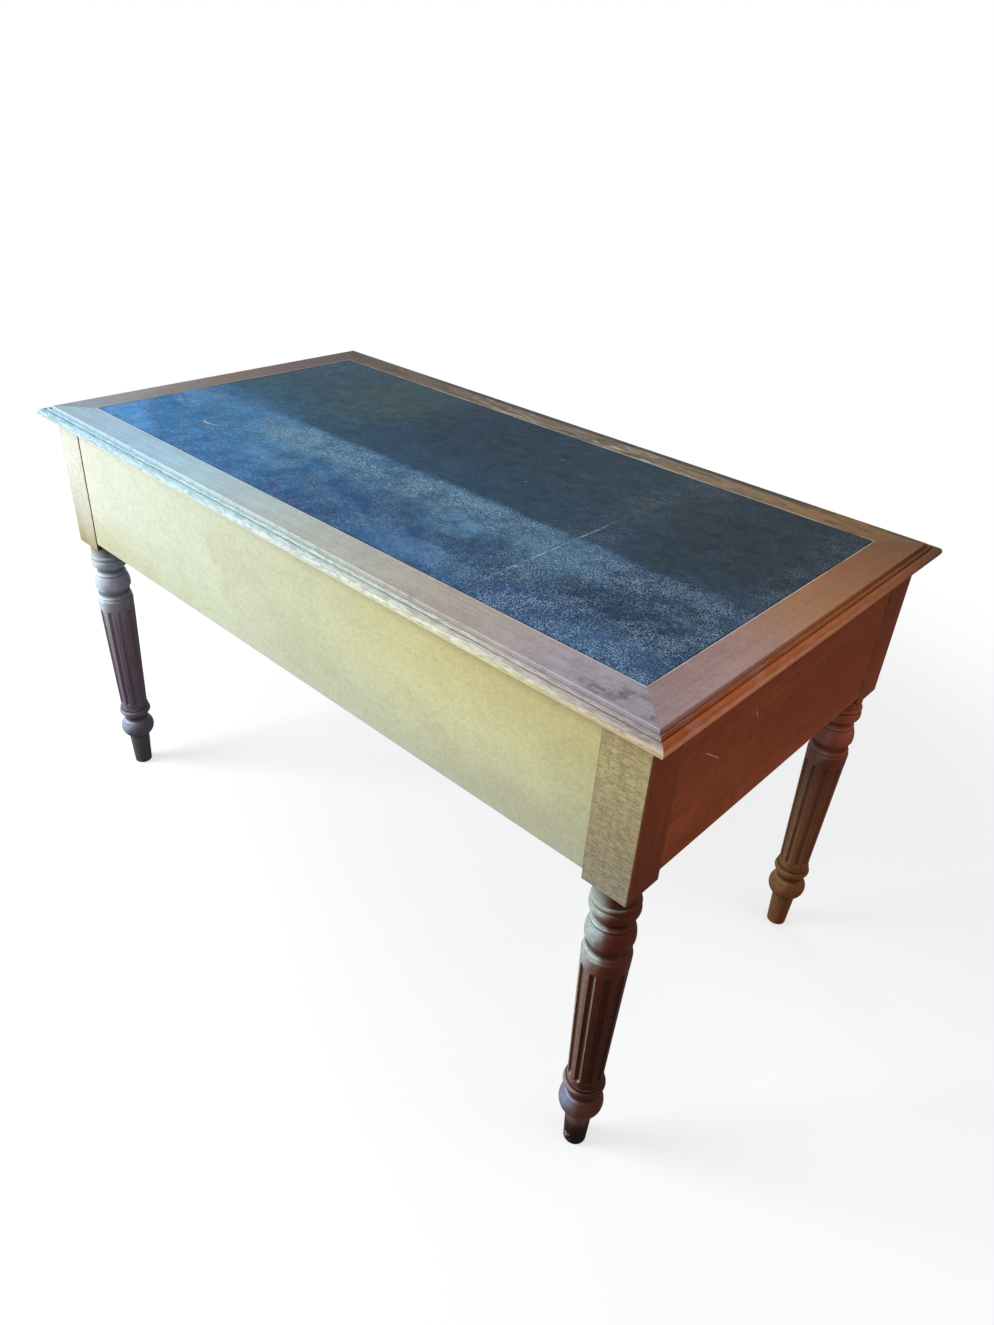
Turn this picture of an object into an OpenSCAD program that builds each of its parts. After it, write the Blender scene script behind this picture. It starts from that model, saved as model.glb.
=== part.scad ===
// Flat-topped writing desk in oak: leather top in a moulded and mitred frame,
// square posts turned and fluted below, a closed back and three dovetailed drawers.
// X runs along the desk, the sitter is at -Y, the floor is Z = 0.

/* [Overall] */
// Length of the top over its moulded edge
top_len = 1300; // [1150:10:1600]
// Depth of the top over its moulded edge
top_dep = 700; // [600:10:850]
// Height of the top above the floor
desk_h = 760; // [720:5:800]
// Reach of the moulded edge beyond the posts and panels
overhang = 23; // [19:1:35]

/* [Top frame] */
// Thickness of the frame rails
top_th = 20; // [18:0.5:26]
// Width of a frame rail, nose to leather
rail_w = 73; // [62:1:100]
// Radius of the half-round nose
nose_r = 7; // [5:0.5:7.5]
// Reach of the whole moulding beyond the flat of the rail
mould_reach = 19; // [16:0.5:22]
// Radius of the bead above the nose
bead_r = 2.6; // [1.5:0.1:3]
// Reach of the bead's centre beyond the flat
bead_reach = 4.3; // [3:0.1:5]
// Drop of the bead's centre below the flat
bead_drop = 6.8; // [5.5:0.1:7.5]
// Softening of the upper edge of the flat
edge_soft = 1; // [0.4:0.1:1.5]

/* [Ground and leather] */
// Thickness of the ground panel under the leather
ground_th = 14; // [10:0.5:16]
// Thickness of the tongue round the ground panel
tongue_th = 6; // [4:0.5:7]
// Length of the tongue round the ground panel
tongue_len = 8; // [5:0.5:12]
// Thickness of the leather
leather_th = 1.2; // [0.8:0.1:2]
// Depth of the leather's surface below the frame
leather_sink = 0.3; // [0.1:0.1:0.8]
// Distance of the leather's seam from the left end of the leather
seam_from_end = 277; // [150:1:500]

/* [Posts and panels] */
// Width of a square post
post_w = 64; // [60:1:80]
// Visible height of the back and end panels
apron_h = 217; // [190:1:240]
// Length of the post below the panels
post_drop = 13; // [6:1:30]
// Thickness of the back and end panels
panel_t = 22; // [18:1:26]
// Depth of the panels behind the faces of the posts
panel_inset = 1; // [0.5:0.5:4]
// Gap that the shrinking back panel has left beside the right-hand back post
shrink_gap = 2; // [0:0.5:3]
// Thickness of the panel tenons
tenon_t = 9; // [6:0.5:12]
// Length of the panel tenons
tenon_len = 30; // [20:1:34]
// Height of each panel tenon
tenon_h = 66; // [50:1:75]
// Distance of a tenon from the panel's edge
tenon_edge = 22; // [14:1:26]
// Softening of the long edges of posts and rails
arris = 1; // [0.4:0.1:2]

/* [Turned legs] */
// Radius of the foot at the floor
foot_r = 16.2; // [12:0.1:18]
// Radius of the foot under the ball
foot_top_r = 19.6; // [16:0.1:21]
// Height of the foot
foot_len = 74; // [66:1:78]
// Largest radius of the ball
ball_r = 31.4; // [28:0.1:34]
// Height of the ball's centre
ball_z = 91; // [88:1:96]
// Radius of the ball's curve
ball_curve = 24; // [20:0.5:26]
// Radius of the neck above the ball
neck_r = 22.4; // [18:0.1:24]
// Largest radius of the lower ring
ring_r = 29.6; // [27:0.1:33]
// Height of the lower ring's centre
ring_z = 131; // [126:1:140]
// Radius of the lower ring's curve
ring_curve = 6.5; // [4:0.5:8]
// Radius of the shaft at its foot
shaft_foot_r = 24.6; // [22:0.1:26]
// Radius of the shaft at its top
shaft_top_r = 32; // [30:0.1:34]
// Drop of the collar's centre below the post
collar_drop = 118.5; // [112:0.5:122]
// Radius of the collar's curve
collar_curve = 7; // [5:0.5:8]
// Radius of the slim lap over the collar
lap_r = 30.6; // [29:0.1:31.5]
// Height of that lap
lap_h = 5.5; // [4:0.5:7]
// Radius of the groove over the lap
groove_r = 28.3; // [26:0.1:29]
// Largest radius of the bulb
bulb_r = 32; // [30:0.1:34]
// Drop of the bulb's centre below the post
bulb_drop = 85; // [84:0.5:86]
// Height of the bulb below its largest radius
bulb_low = 5.5; // [4:0.5:8]
// Height of the bulb above its largest radius
bulb_high = 20; // [18:0.5:22]
// Radius of the bulb's curve
bulb_curve = 43; // [38:1:60]
// Radius of the square fillet under the bulb
bulb_fillet_r = 30.8; // [29.5:0.1:31.4]
// Smallest radius of the cove over the bulb
cove_r = 23.8; // [22:0.1:25.5]
// Radius of the cove's hollow
cove_curve = 9; // [8:0.1:9.5]
// Radius of the lip under the cove
lip_r = 27.2; // [26:0.1:28.5]
// Drop of the cove's centre below the post
cove_drop = 55; // [54:0.5:56]
// Largest radius of the upper ring
cap_r = 32; // [30:0.1:34]
// Drop of the upper ring's centre below the post
cap_drop = 39; // [38:0.5:40]
// Half the height of the upper ring
cap_half = 8; // [7:0.5:9]
// Radius of the upper ring's curve
cap_curve = 16; // [12:1:30]
// Largest radius of the bead over that ring
top_bead_r = 31; // [29.5:0.1:32]
// Drop of that bead's centre below the post
top_bead_drop = 27.5; // [26:0.5:29]
// Radius of that bead's curve
top_bead_curve = 4.5; // [4:0.5:6]
// Radius of the neck under the post
top_neck_r = 28; // [26.5:0.1:29]

/* [Flutes] */
// Number of flutes round a leg
flute_n = 10; // [6:1:12]
// Width of a flute at the surface
flute_w = 9.4; // [6:0.1:11]
// Depth of a flute
flute_d = 3.6; // [2:0.1:4.2]
// Height of the lower end of the flutes above the lower ring
flute_start = 26; // [20:1:50]
// Distance of the upper end of the flutes below the collar
flute_stop = 23; // [18:1:40]

/* [Front rails and drawers] */
// Depth of the front rails
front_rail_d = 45; // [35:1:60]
// Height of the front rails
front_rail_h = 20; // [16:1:26]
// Clear width of the centre drawer's opening
centre_w = 500; // [420:5:560]
// Clear height of the centre drawer's opening
centre_h = 90; // [70:1:110]
// Thickness of the dividers and partitions
divider_t = 24; // [18:1:30]
// Thickness of the drawer fronts
front_t = 22; // [18:1:26]
// Thickness of the drawer sides
side_t = 11; // [8:0.5:14]
// Thickness of the drawer backs
back_t = 10; // [8:0.5:14]
// Thickness of the drawer bottoms
bottom_t = 6; // [4:0.5:8]
// Gap at each side of a drawer
side_gap = 1; // [0.5:0.1:2]
// Gap over a drawer
top_gap = 1.7; // [1:0.1:3]
// Gap between a drawer and what it runs on
run_gap = 0.3; // [0.1:0.05:0.6]
// Free space behind a drawer
rear_gap = 45; // [20:1:80]
// Height of the drawer bottom's groove above the lower edge
groove_up = 8; // [6:0.5:12]
// Depth of the drawer bottom's groove
groove_d = 5; // [3:0.5:6]
// Drop of a drawer back's upper edge below the sides
back_drop = 5; // [2:1:12]
// Lap of wood in front of the dovetails
lap = 6; // [4:0.5:9]
// Width of the pins between the dovetails
pin_w = 6; // [4:0.5:9]
// Spread of a dovetail to each side
tail_flare = 2.2; // [1:0.1:3]

/* [Runners] */
// Width of the runners and kickers
runner_w = 18; // [14:1:24]
// Height of the drawer guides
guide_h = 45; // [30:1:70]
// Depth of the housings for the partitions
housing_d = 6; // [4:0.5:8]
// Height of a drawer stop
stop_h = 5; // [3:0.5:6]
// Length of a drawer stop
stop_len = 30; // [20:1:50]
// Width of a drawer stop
stop_w = 14; // [10:1:20]
// Side of a glue block
block_side = 20; // [14:1:26]
// Length of a glue block
block_len = 60; // [40:5:90]

/* [Pulls and screws] */
// Radius of a knob
knob_r = 12; // [9:0.5:15]
// Reach of a knob in front of the drawer
knob_reach = 21; // [16:0.5:22]
// Radius of a knob's rose
rose_r = 14; // [11:0.5:18]
// Thickness of a knob's rose
rose_t = 2; // [1.5:0.1:3]
// Radius of the screws
screw_r = 2; // [1.5:0.1:2.5]
// Radius of the screw heads
head_r = 4; // [3:0.1:5]
// Grip of a top screw in the top
screw_grip = 11; // [8:0.5:13]
// Distance of the end screws from the end panels
screw_inset = 14; // [12:1:15]
// Distance of the centre drawer's knobs from its middle
knob_off = 140; // [60:5:180]

/* [Hidden] */
$fn = 64;
// Clearance of glued joints
glue = 0.1;
// Clearance at the bottom of a mortise
mortise_gap = 0.8;
// Clearance round a knob's screw in the drawer front
screw_gap = 0.3;
// Extra length that carries a cut clear through a face
past = 1;
// Height of the chamfer round a foot
foot_chamfer = 1.5;
// Depth of the hole in the back of a knob
knob_hole = 12;
// Turn of each leg's flutes, as the four hand-made legs stand
turn_back_left = 26;
turn_back_right = 18;
turn_front_left = 14;
turn_front_right = 9;

body_len = top_len - 2 * overhang;
body_dep = top_dep - 2 * overhang;
body_top = desk_h - top_th;
half_post = post_w / 2;
// Lengths of the lower rails' tenons, and of the dividers' tenons into the top rail
post_tenon = 22;
divider_tenon = 10;
stub_h = 10;
leg_x = body_len / 2 - half_post;
leg_y = body_dep / 2 - half_post;
apron_z = body_top - apron_h;
post_z = apron_z - post_drop;
post_h = body_top - post_z;
span_x = body_len - 2 * post_w;
span_y = body_dep - 2 * post_w;
front_y = -body_dep / 2;
// Inner faces of the back panel and the end panels, from the middle of the desk
back_in = body_dep / 2 - panel_inset - panel_t;
end_in = body_len / 2 - panel_inset - panel_t;
rail_back = front_y + front_rail_d;

shaft_z0 = ring_z + ring_curve + 4;
collar_z = post_z - collar_drop;
bulb_z = post_z - bulb_drop;
cove_z = post_z - cove_drop;
cap_z = post_z - cap_drop;
top_bead_z = post_z - top_bead_drop;

// Clear openings of the drawers
side_z = apron_z + front_rail_h;
top_rail_z = body_top - front_rail_h;
side_open_h = top_rail_z - side_z;
side_open_w = (span_x - centre_w) / 2 - divider_t;
centre_z = top_rail_z - centre_h;
divider_x = centre_w / 2 + divider_t / 2;
side_mid_x = centre_w / 2 + divider_t + side_open_w / 2;
drawer_len = back_in - rear_gap - front_y;

oak_dark = [0.36, 0.20, 0.11];
oak_red = [0.45, 0.22, 0.12];
oak_pale = [0.72, 0.62, 0.40];
oak_top = [0.50, 0.38, 0.31];
oak_raw = [0.70, 0.55, 0.38];
leather_blue = [0.14, 0.18, 0.24];
brass = [0.72, 0.56, 0.28];
steel = [0.45, 0.45, 0.46];

// A rectangle from the origin with softened corners
module soft_rect(a, b, r) {
    translate([r, 0]) square([a - 2 * r, b]);
    translate([0, r]) square([a, b - 2 * r]);
    for (x = [r, a - r], y = [r, b - r]) translate([x, y]) circle(r);
}

// A board that runs along X, from its low corner
module board_x(l, d, h) {
    rotate([90, 0, 90]) linear_extrude(l) soft_rect(d, h, arris);
}

// A board that runs along Y, from its low corner
module board_y(w, l, h) {
    translate([0, l, 0]) rotate([90, 0, 0]) linear_extrude(l) soft_rect(w, h, arris);
}

// A board that stands along Z, from its low corner
module board_z(w, d, h) {
    linear_extrude(h) soft_rect(w, d, arris);
}

// A half-round member of the turning, with its core, in radius and height
module bead(z, r, curve) {
    translate([r - curve, z]) circle(curve);
    translate([0, z - curve]) square([r - curve, 2 * curve]);
}

// A plain cylinder of the turning, in radius and height
module fillet_band(z0, z1, r) {
    translate([0, z0]) square([r, z1 - z0]);
}

// A flat curve of the turning that bulges to radius r between z - low and z + high
module swell(z, r, curve, low, high) {
    intersection() {
        translate([r - curve, z]) circle(curve);
        translate([0, z - low]) square([r, low + high]);
    }
}

// Section of the turned leg, in radius and height, from the floor to the post
module leg_section() {
    core_r = foot_r * 0.8;
    step = 2.4;
    step_h = 3;
    quirk = 0.9;
    shaft_z = shaft_z0 - step;
    lap_z = collar_z + collar_curve;
    intersection() {
        square([post_w, post_z + past]);
        union() {
            square([core_r, post_z + past]);
            polygon([[0, 0], [foot_r - foot_chamfer, 0], [foot_r, foot_chamfer], [foot_top_r, foot_len],
                [0, foot_len]]);
            bead(ball_z, ball_r, ball_curve);
            fillet_band(ball_z, ring_z, neck_r);
            fillet_band(ring_z - ring_curve - step_h, ring_z, neck_r + step);
            bead(ring_z, ring_r, ring_curve);
            fillet_band(ring_z, shaft_z0, shaft_foot_r + step);
            polygon([[0, shaft_z], [shaft_foot_r, shaft_z], [shaft_foot_r, shaft_z0],
                [shaft_top_r, collar_z], [0, collar_z]]);
            bead(collar_z, shaft_top_r, collar_curve);
            polygon([[0, lap_z], [lap_r, lap_z], [lap_r, lap_z + quirk], [groove_r, lap_z + lap_h],
                [0, lap_z + lap_h]]);
            fillet_band(collar_z, bulb_z, groove_r);
            fillet_band(bulb_z - bulb_low - quirk, bulb_z, bulb_fillet_r);
            swell(bulb_z, bulb_r, bulb_curve, bulb_low, bulb_high);
            fillet_band(bulb_z, cove_z - cove_curve, lip_r - quirk);
            difference() {
                fillet_band(cove_z - cove_curve, cap_z, lip_r);
                translate([cove_r + cove_curve, cove_z]) circle(cove_curve);
            }
            swell(cap_z, cap_r, cap_curve, cap_half, cap_half);
            bead(top_bead_z, top_bead_r, top_bead_curve);
            fillet_band(cap_z, post_z + past, top_neck_r);
        }
    }
}

// One stopped flute: a round-ended cutter laid almost along the shaft's slope, so that the flute
// deepens a little towards its top
module flute_cutter() {
    cut_r = (flute_w * flute_w / 4 + flute_d * flute_d) / (2 * flute_d);
    z0 = ring_z + flute_start;
    z1 = collar_z - flute_stop;
    slope = (shaft_top_r - shaft_foot_r) / (collar_z - shaft_z0);
    reach = cut_r - flute_d;
    lean = 0.96;
    r0 = shaft_foot_r + slope * (z0 - shaft_z0) + reach;
    len = (z1 - z0) * sqrt(1 + slope * slope);
    translate([r0, 0, z0]) rotate([0, atan(slope * lean), 0]) rotate_extrude() intersection() {
        translate([0, -cut_r]) square([cut_r, len + 2 * cut_r]);
        union() {
            circle(cut_r);
            square([cut_r, len]);
            translate([0, len]) circle(cut_r);
        }
    }
}

// The turned and fluted part of a leg
module turned_leg(turn) {
    difference() {
        rotate_extrude($fn = 96) leg_section();
        for (i = [0:flute_n - 1]) rotate(turn + i * 360 / flute_n) flute_cutter();
    }
}

// Extra depth of a mortise, which a cut has and a tenon hasn't
function deeper(grow) = grow > 0 ? mortise_gap : 0;

// The two tenons of a panel that ends at x = 0 and runs towards -X, grown by a clearance
module panel_tenons(grow, root = past) {
    for (z = [apron_z + tenon_edge, body_top - tenon_edge - tenon_h])
        translate([-root, -tenon_t / 2 - grow, z - grow])
            cube([tenon_len + root + deeper(grow), tenon_t + 2 * grow, tenon_h + 2 * grow]);
}

// The square post over a leg whose outer faces look towards +X and +Y
module post() {
    translate([-half_post, -half_post, post_z]) board_z(post_w, post_w, post_h);
}

// Mortises for a panel that comes from -X and stands behind the +Y face
module panel_mortises() {
    translate([-half_post, half_post - panel_inset - panel_t / 2, 0]) panel_tenons(glue);
}

// Dovetail that ties the front top rail into a post, pointing to +X, grown by a clearance
module rail_tail(grow) {
    root = front_rail_d * 0.5 + 2 * grow;
    tip = front_rail_d * 0.65 + 2 * grow;
    len = post_w * 0.4 + deeper(grow);
    h = front_rail_h * 0.6;
    translate([0, 0, body_top - h - grow]) linear_extrude(h + grow + (grow > 0 ? past : 0))
        polygon([[-past, -root / 2], [0, -root / 2], [len, -tip / 2], [len, tip / 2], [0, root / 2],
            [-past, root / 2]]);
}

// Stub tenon of a lower rail, pointing to +X, grown by a clearance
module rail_tenon(len, grow) {
    translate([-past, front_rail_d * 0.2 - grow, front_rail_h * 0.25 - grow])
        cube([len + past + deeper(grow), front_rail_d * 0.6 + 2 * grow, front_rail_h * 0.5 + 2 * grow]);
}

// A back leg, with the post's outer faces towards sx and +Y
module back_leg(sx, turn) {
    translate([sx * leg_x, leg_y, 0]) {
        turned_leg(turn);
        mirror([sx < 0 ? 1 : 0, 0, 0]) difference() {
            post();
            panel_mortises();
            mirror([1, -1, 0]) panel_mortises();
        }
    }
}

// A front leg, with the post's outer faces towards sx and -Y
module front_leg(sx, turn) {
    translate([sx * leg_x, -leg_y, 0]) {
        turned_leg(turn);
        mirror([sx < 0 ? 1 : 0, 0, 0]) difference() {
            post();
            mirror([0, 1, 0]) mirror([1, -1, 0]) panel_mortises();
            translate([-half_post, -half_post + front_rail_d / 2, 0]) rail_tail(glue);
            translate([-half_post, -half_post, apron_z]) rail_tenon(post_tenon, glue);
        }
    }
}

// The back panel, tenoned into both back posts and housed for the partitions
module back_panel() {
    color(oak_pale) difference() {
        union() {
            translate([-span_x / 2, back_in, apron_z]) board_x(span_x - shrink_gap, panel_t, apron_h);
            for (s = [0, 1]) mirror([s, 0, 0])
                translate([span_x / 2, back_in + panel_t / 2, 0]) panel_tenons(0, shrink_gap + past);
        }
        for (s = [-1, 1]) translate([s * divider_x - divider_t / 2 - glue, back_in - past, apron_z - past])
            cube([divider_t + 2 * glue, housing_d + past, apron_h + 2 * past]);
    }
}

// An end panel, tenoned into the front and back posts
module end_panel(sx) {
    color(oak_red) mirror([sx < 0 ? 1 : 0, 0, 0]) {
        translate([end_in, -span_y / 2, apron_z]) board_y(panel_t, span_y, apron_h);
        for (s = [0, 1]) mirror([0, s, 0])
            translate([end_in + panel_t / 2, span_y / 2, 0]) rotate(90) panel_tenons(0);
    }
}

// The rail over the drawers, dovetailed down into the front posts
module front_top_rail() {
    color(oak_red) difference() {
        union() {
            translate([-span_x / 2, front_y, top_rail_z]) board_x(span_x, front_rail_d, front_rail_h);
            for (s = [0, 1]) mirror([s, 0, 0])
                translate([span_x / 2, front_y + front_rail_d / 2, 0]) rail_tail(0);
        }
        for (s = [-1, 1]) translate([s * divider_x, front_y, top_rail_z]) divider_stub(glue);
        screw_holes();
    }
}

// Stub tenon on top of a divider, grown by a clearance
module divider_stub(grow) {
    w = divider_t * 0.5 + 2 * grow;
    d = front_rail_d * 0.6 + 2 * grow;
    translate([-w / 2, front_rail_d * 0.2 - grow, -past]) cube([w, d, stub_h + past + 2 * grow]);
}

// The rail under a side drawer, from the post to the divider
module lower_rail_side(sx) {
    color(oak_red) mirror([sx < 0 ? 1 : 0, 0, 0]) {
        translate([span_x / 2 - side_open_w, front_y, apron_z]) {
            board_x(side_open_w, front_rail_d, front_rail_h);
            translate([side_open_w, 0, 0]) rail_tenon(post_tenon, 0);
            mirror([1, 0, 0]) rail_tenon(divider_tenon, 0);
        }
    }
}

// The rail under the centre drawer, between the dividers
module lower_rail_centre() {
    color(oak_red) {
        translate([-centre_w / 2, front_y, centre_z - front_rail_h])
            board_x(centre_w, front_rail_d, front_rail_h);
        for (s = [0, 1]) mirror([s, 0, 0])
            translate([centre_w / 2, front_y, centre_z - front_rail_h]) rail_tenon(divider_tenon, 0);
    }
}

// The upright between the centre opening and a side opening
module divider(sx) {
    color(oak_red) mirror([sx < 0 ? 1 : 0, 0, 0]) difference() {
        union() {
            translate([centre_w / 2, front_y, apron_z])
                board_z(divider_t, front_rail_d, top_rail_z - apron_z);
            translate([divider_x, front_y, top_rail_z]) divider_stub(0);
        }
        translate([centre_w / 2 + divider_t, front_y, apron_z])
            mirror([1, 0, 0]) rail_tenon(divider_tenon, glue);
        translate([centre_w / 2, front_y, centre_z - front_rail_h]) rail_tenon(divider_tenon, glue);
        translate([divider_x, rail_back, 0]) partition_tongue(glue, apron_z - past, top_rail_z + past);
    }
}

// Tongue on the front edge of a partition, which points to -Y, from z0 to z1
module partition_tongue(grow, z0, z1) {
    w = divider_t / 3 + 2 * grow;
    translate([-w / 2, -housing_d - grow, z0]) cube([w, housing_d + past, z1 - z0]);
}

// The partition between the centre and a side drawer, housed in the back panel
module partition(sx) {
    color(oak_raw) mirror([sx < 0 ? 1 : 0, 0, 0]) {
        translate([centre_w / 2, rail_back, apron_z])
            cube([divider_t, back_in + housing_d - glue - rail_back, apron_h]);
        translate([divider_x, rail_back, 0]) partition_tongue(0, apron_z, top_rail_z);
    }
}

// A strip along Y from the front rails to the back panel, w wide from x on
module strip(x, w, z) {
    color(oak_raw) translate([x, rail_back, z]) board_y(w, back_in - rail_back, front_rail_h);
}

// Runner of a side drawer beside the line of the posts
module outer_runner(sx) {
    mirror([sx < 0 ? 1 : 0, 0, 0]) strip(span_x / 2 - runner_w, runner_w, apron_z);
}

// Runner or kicker on the outer face of a partition
module inner_strip(sx, z) {
    mirror([sx < 0 ? 1 : 0, 0, 0]) strip(centre_w / 2 + divider_t, runner_w, z);
}

// Runner or kicker on the face of a partition towards the centre drawer
module centre_strip(sx, z) {
    mirror([sx < 0 ? 1 : 0, 0, 0]) strip(centre_w / 2 - runner_w, runner_w, z);
}

// The guide that fills the space between an end panel and the outer runner
module guide(sx) {
    color(oak_raw) mirror([sx < 0 ? 1 : 0, 0, 0])
        translate([span_x / 2, -span_y / 2, apron_z]) board_y(end_in - span_x / 2, span_y, guide_h);
}

// The kicker over a side drawer at its outer side, fixed to the end panel between the posts
module outer_kicker(sx) {
    color(oak_raw) difference() {
        mirror([sx < 0 ? 1 : 0, 0, 0]) translate([span_x / 2 - runner_w, -span_y / 2, top_rail_z])
            board_y(end_in - span_x / 2 + runner_w, span_y, front_rail_h);
        screw_holes();
    }
}

// Blocks on the lower rails that the drawer fronts close against
module drawer_stops() {
    stop_y = front_y + front_t + run_gap;
    color(oak_raw) {
        for (s = [-1, 1], k = [-1, 1])
            translate([s * side_mid_x + k * side_open_w / 4 - stop_len / 2, stop_y, side_z])
                cube([stop_len, stop_w, stop_h]);
        for (k = [-1, 1]) translate([k * centre_w / 4 - stop_len / 2, stop_y, centre_z])
            cube([stop_len, stop_w, stop_h]);
    }
}

// Triangular blocks glued in the angle between the back panel and the top frame
module glue_blocks() {
    mids = [0, side_mid_x, centre_w / 3];
    color(oak_raw) for (x = [-mids[1], -mids[2], mids[0], mids[2], mids[1]])
        translate([x - block_len / 2, back_in, body_top]) rotate([90, 0, 90]) linear_extrude(block_len)
            polygon([[0, 0], [-block_side, 0], [0, -block_side]]);
}

// Wood screw that points up, with its head sunk at z = 0
module wood_screw(len) {
    rotate_extrude() polygon([[0, 0], [head_r, 0], [screw_r, head_r - screw_r], [screw_r, len - 3 * screw_r],
        [0, len]]);
}

// Places of the screws that hold the top down
screw_len = front_rail_h + screw_grip;
screw_x = end_in - screw_inset;
front_screw_y = front_y + front_rail_d * 0.6;
screw_spots = concat(
    [for (s = [-1, 1], y = [-span_y / 3, 0, span_y / 3]) [s * screw_x, y]],
    [for (x = [-side_mid_x, 0, side_mid_x]) [x, front_screw_y]]);

module top_screws() {
    color(steel) for (p = screw_spots) translate([p[0], p[1], top_rail_z]) wood_screw(screw_len);
}

// Holes for the top screws, through what they pass and into the top
module screw_holes() {
    for (p = screw_spots) translate([p[0], p[1], top_rail_z]) {
        translate([0, 0, -past]) cylinder(h = screw_len + past + 1, r = screw_r + glue);
        rotate_extrude() polygon([[0, -past], [head_r + past + glue, -past],
            [screw_r + glue, head_r - screw_r], [0, head_r - screw_r]]);
    }
}

// Section of a top rail: reach from the flat's edge, and height from its underside
module edge_section() {
    flat_w = rail_w - mould_reach;
    translate([-flat_w, 0]) square([flat_w - edge_soft, top_th]);
    translate([-flat_w, 0]) square([flat_w, top_th - edge_soft]);
    translate([-edge_soft, top_th - edge_soft]) circle(edge_soft);
    square([bead_reach, top_th - bead_drop + bead_r / 3]);
    translate([bead_reach, top_th - bead_drop]) circle(bead_r);
    square([mould_reach - nose_r, nose_r * 1.5]);
    translate([mould_reach - nose_r, nose_r]) circle(nose_r);
}

// A mitred top rail of length l, with its nose at d / 2 towards +Y before it is turned
module top_rail(turn, l, d) {
    out = 5;
    groove_h = tongue_th + 2 * glue;
    color(oak_top) difference() {
        rotate(turn) intersection() {
            translate([-l / 2 - out, d / 2 - mould_reach, body_top])
                rotate([90, 0, 90]) linear_extrude(l + 2 * out) edge_section();
            translate([0, 0, body_top - past]) linear_extrude(top_th + 2 * past)
                polygon([[-l / 2 - out, d / 2 + out], [-l / 2 + rail_w + out, d / 2 - rail_w - out],
                    [l / 2 - rail_w - out, d / 2 - rail_w - out], [l / 2 + out, d / 2 + out]]);
        }
        rotate(turn) translate([-l / 2, d / 2 - rail_w - past, tongue_z - glue])
            cube([l, tongue_len + past + 2 * glue, groove_h]);
        screw_holes();
    }
}

ground_z = desk_h - leather_sink - leather_th - ground_th;
tongue_z = ground_z + (ground_th - tongue_th) / 2;
leather_len = top_len - 2 * rail_w;
leather_dep = top_dep - 2 * rail_w;

// The panel that carries the leather, held by its tongue all round
module ground_panel() {
    l = leather_len - 2 * glue;
    d = leather_dep - 2 * glue;
    color(oak_raw) {
        translate([-l / 2, -d / 2, ground_z]) cube([l, d, ground_th]);
        translate([-l / 2 - tongue_len, -d / 2 - tongue_len, tongue_z])
            cube([l + 2 * tongue_len, d + 2 * tongue_len, tongue_th]);
    }
}

// One skin of the leather, between two distances from the left end
module leather_skin(x0, x1) {
    edge = 0.3;
    low = [x0 - leather_len / 2 + edge, edge - leather_dep / 2, ground_z + ground_th];
    color(leather_blue) translate(low)
        cube([x1 - x0 - 2 * edge, leather_dep - 2 * edge, leather_th]);
}

// Outline of n dovetails from y = 0 to y = len over a height h, widest at y = 0, grown by a clearance
module tails(n, len, h, grow) {
    pitch = h / n;
    wide = (pitch - pin_w) / 2 + grow;
    slim = wide - tail_flare;
    for (i = [0:n - 1]) translate([0, (i + 0.5) * pitch])
        polygon([[-grow, -wide], [len + past, -slim], [len + past, slim], [-grow, wide]]);
}

// A drawer's parts share its width w, its height h and its number n of dovetails on a corner.
// They are drawn about x = 0 with the drawer's lower edge at z = 0.
// Height of a drawer back's lower edge, over the bottom
back_z = groove_up + bottom_t + 2 * glue;
back_face = front_y + drawer_len;

// Height of the back of a drawer whose sides are h high
function back_h(h) = h - back_z - back_drop;

// A drawer side at the low x end of the drawer, with tails at both ends
module drawer_side(w, h, n) {
    y0 = front_y + front_t;
    color(oak_raw) difference() {
        translate([-w / 2, 0, 0]) rotate([90, 0, 90]) linear_extrude(side_t) {
            difference() {
                translate([y0, 0]) square([back_face - y0, h]);
                translate([back_face - back_t, back_z]) square([back_t + past, back_h(h)]);
            }
            translate([front_y + lap, 0]) tails(n, front_t - lap, h, 0);
            translate([back_face, back_z]) mirror([1, 0]) tails(n, back_t, back_h(h), 0);
        }
        translate([-w / 2 + side_t - groove_d, front_y, groove_up])
            cube([groove_d + past, drawer_len + past, bottom_t + 2 * glue]);
    }
}

// A drawer front with sockets for the tails, a groove for the bottom and holes for the knob screws
module drawer_front(w, h, n, knobs) {
    tail_len = front_t - lap;
    color(oak_red) difference() {
        translate([-w / 2, front_y, 0]) board_x(w, front_t, h);
        for (s = [0, 1]) mirror([s, 0, 0]) translate([-w / 2 - past, front_y + lap, 0])
            rotate([90, 0, 90]) linear_extrude(side_t + past + glue) tails(n, tail_len, h, glue);
        translate([-w / 2 + side_t - groove_d, front_y + front_t - groove_d, groove_up])
            cube([w - 2 * side_t + 2 * groove_d, groove_d + past, bottom_t + 2 * glue]);
        for (x = knobs) translate([x, front_y - past, h / 2]) rotate([-90, 0, 0])
            cylinder(h = front_t + 2 * past, r = screw_r + screw_gap);
    }
}

// A drawer back between and around the tails of the sides, standing on the bottom
module drawer_back(w, h, n) {
    color(oak_raw) difference() {
        translate([-w / 2, back_face - back_t, back_z]) cube([w, back_t, back_h(h)]);
        for (s = [0, 1]) mirror([s, 0, 0]) translate([-w / 2 - past, back_face, back_z])
            rotate([90, 0, 90]) linear_extrude(side_t + past + glue)
                mirror([1, 0]) tails(n, back_t, back_h(h), glue);
    }
}

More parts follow.
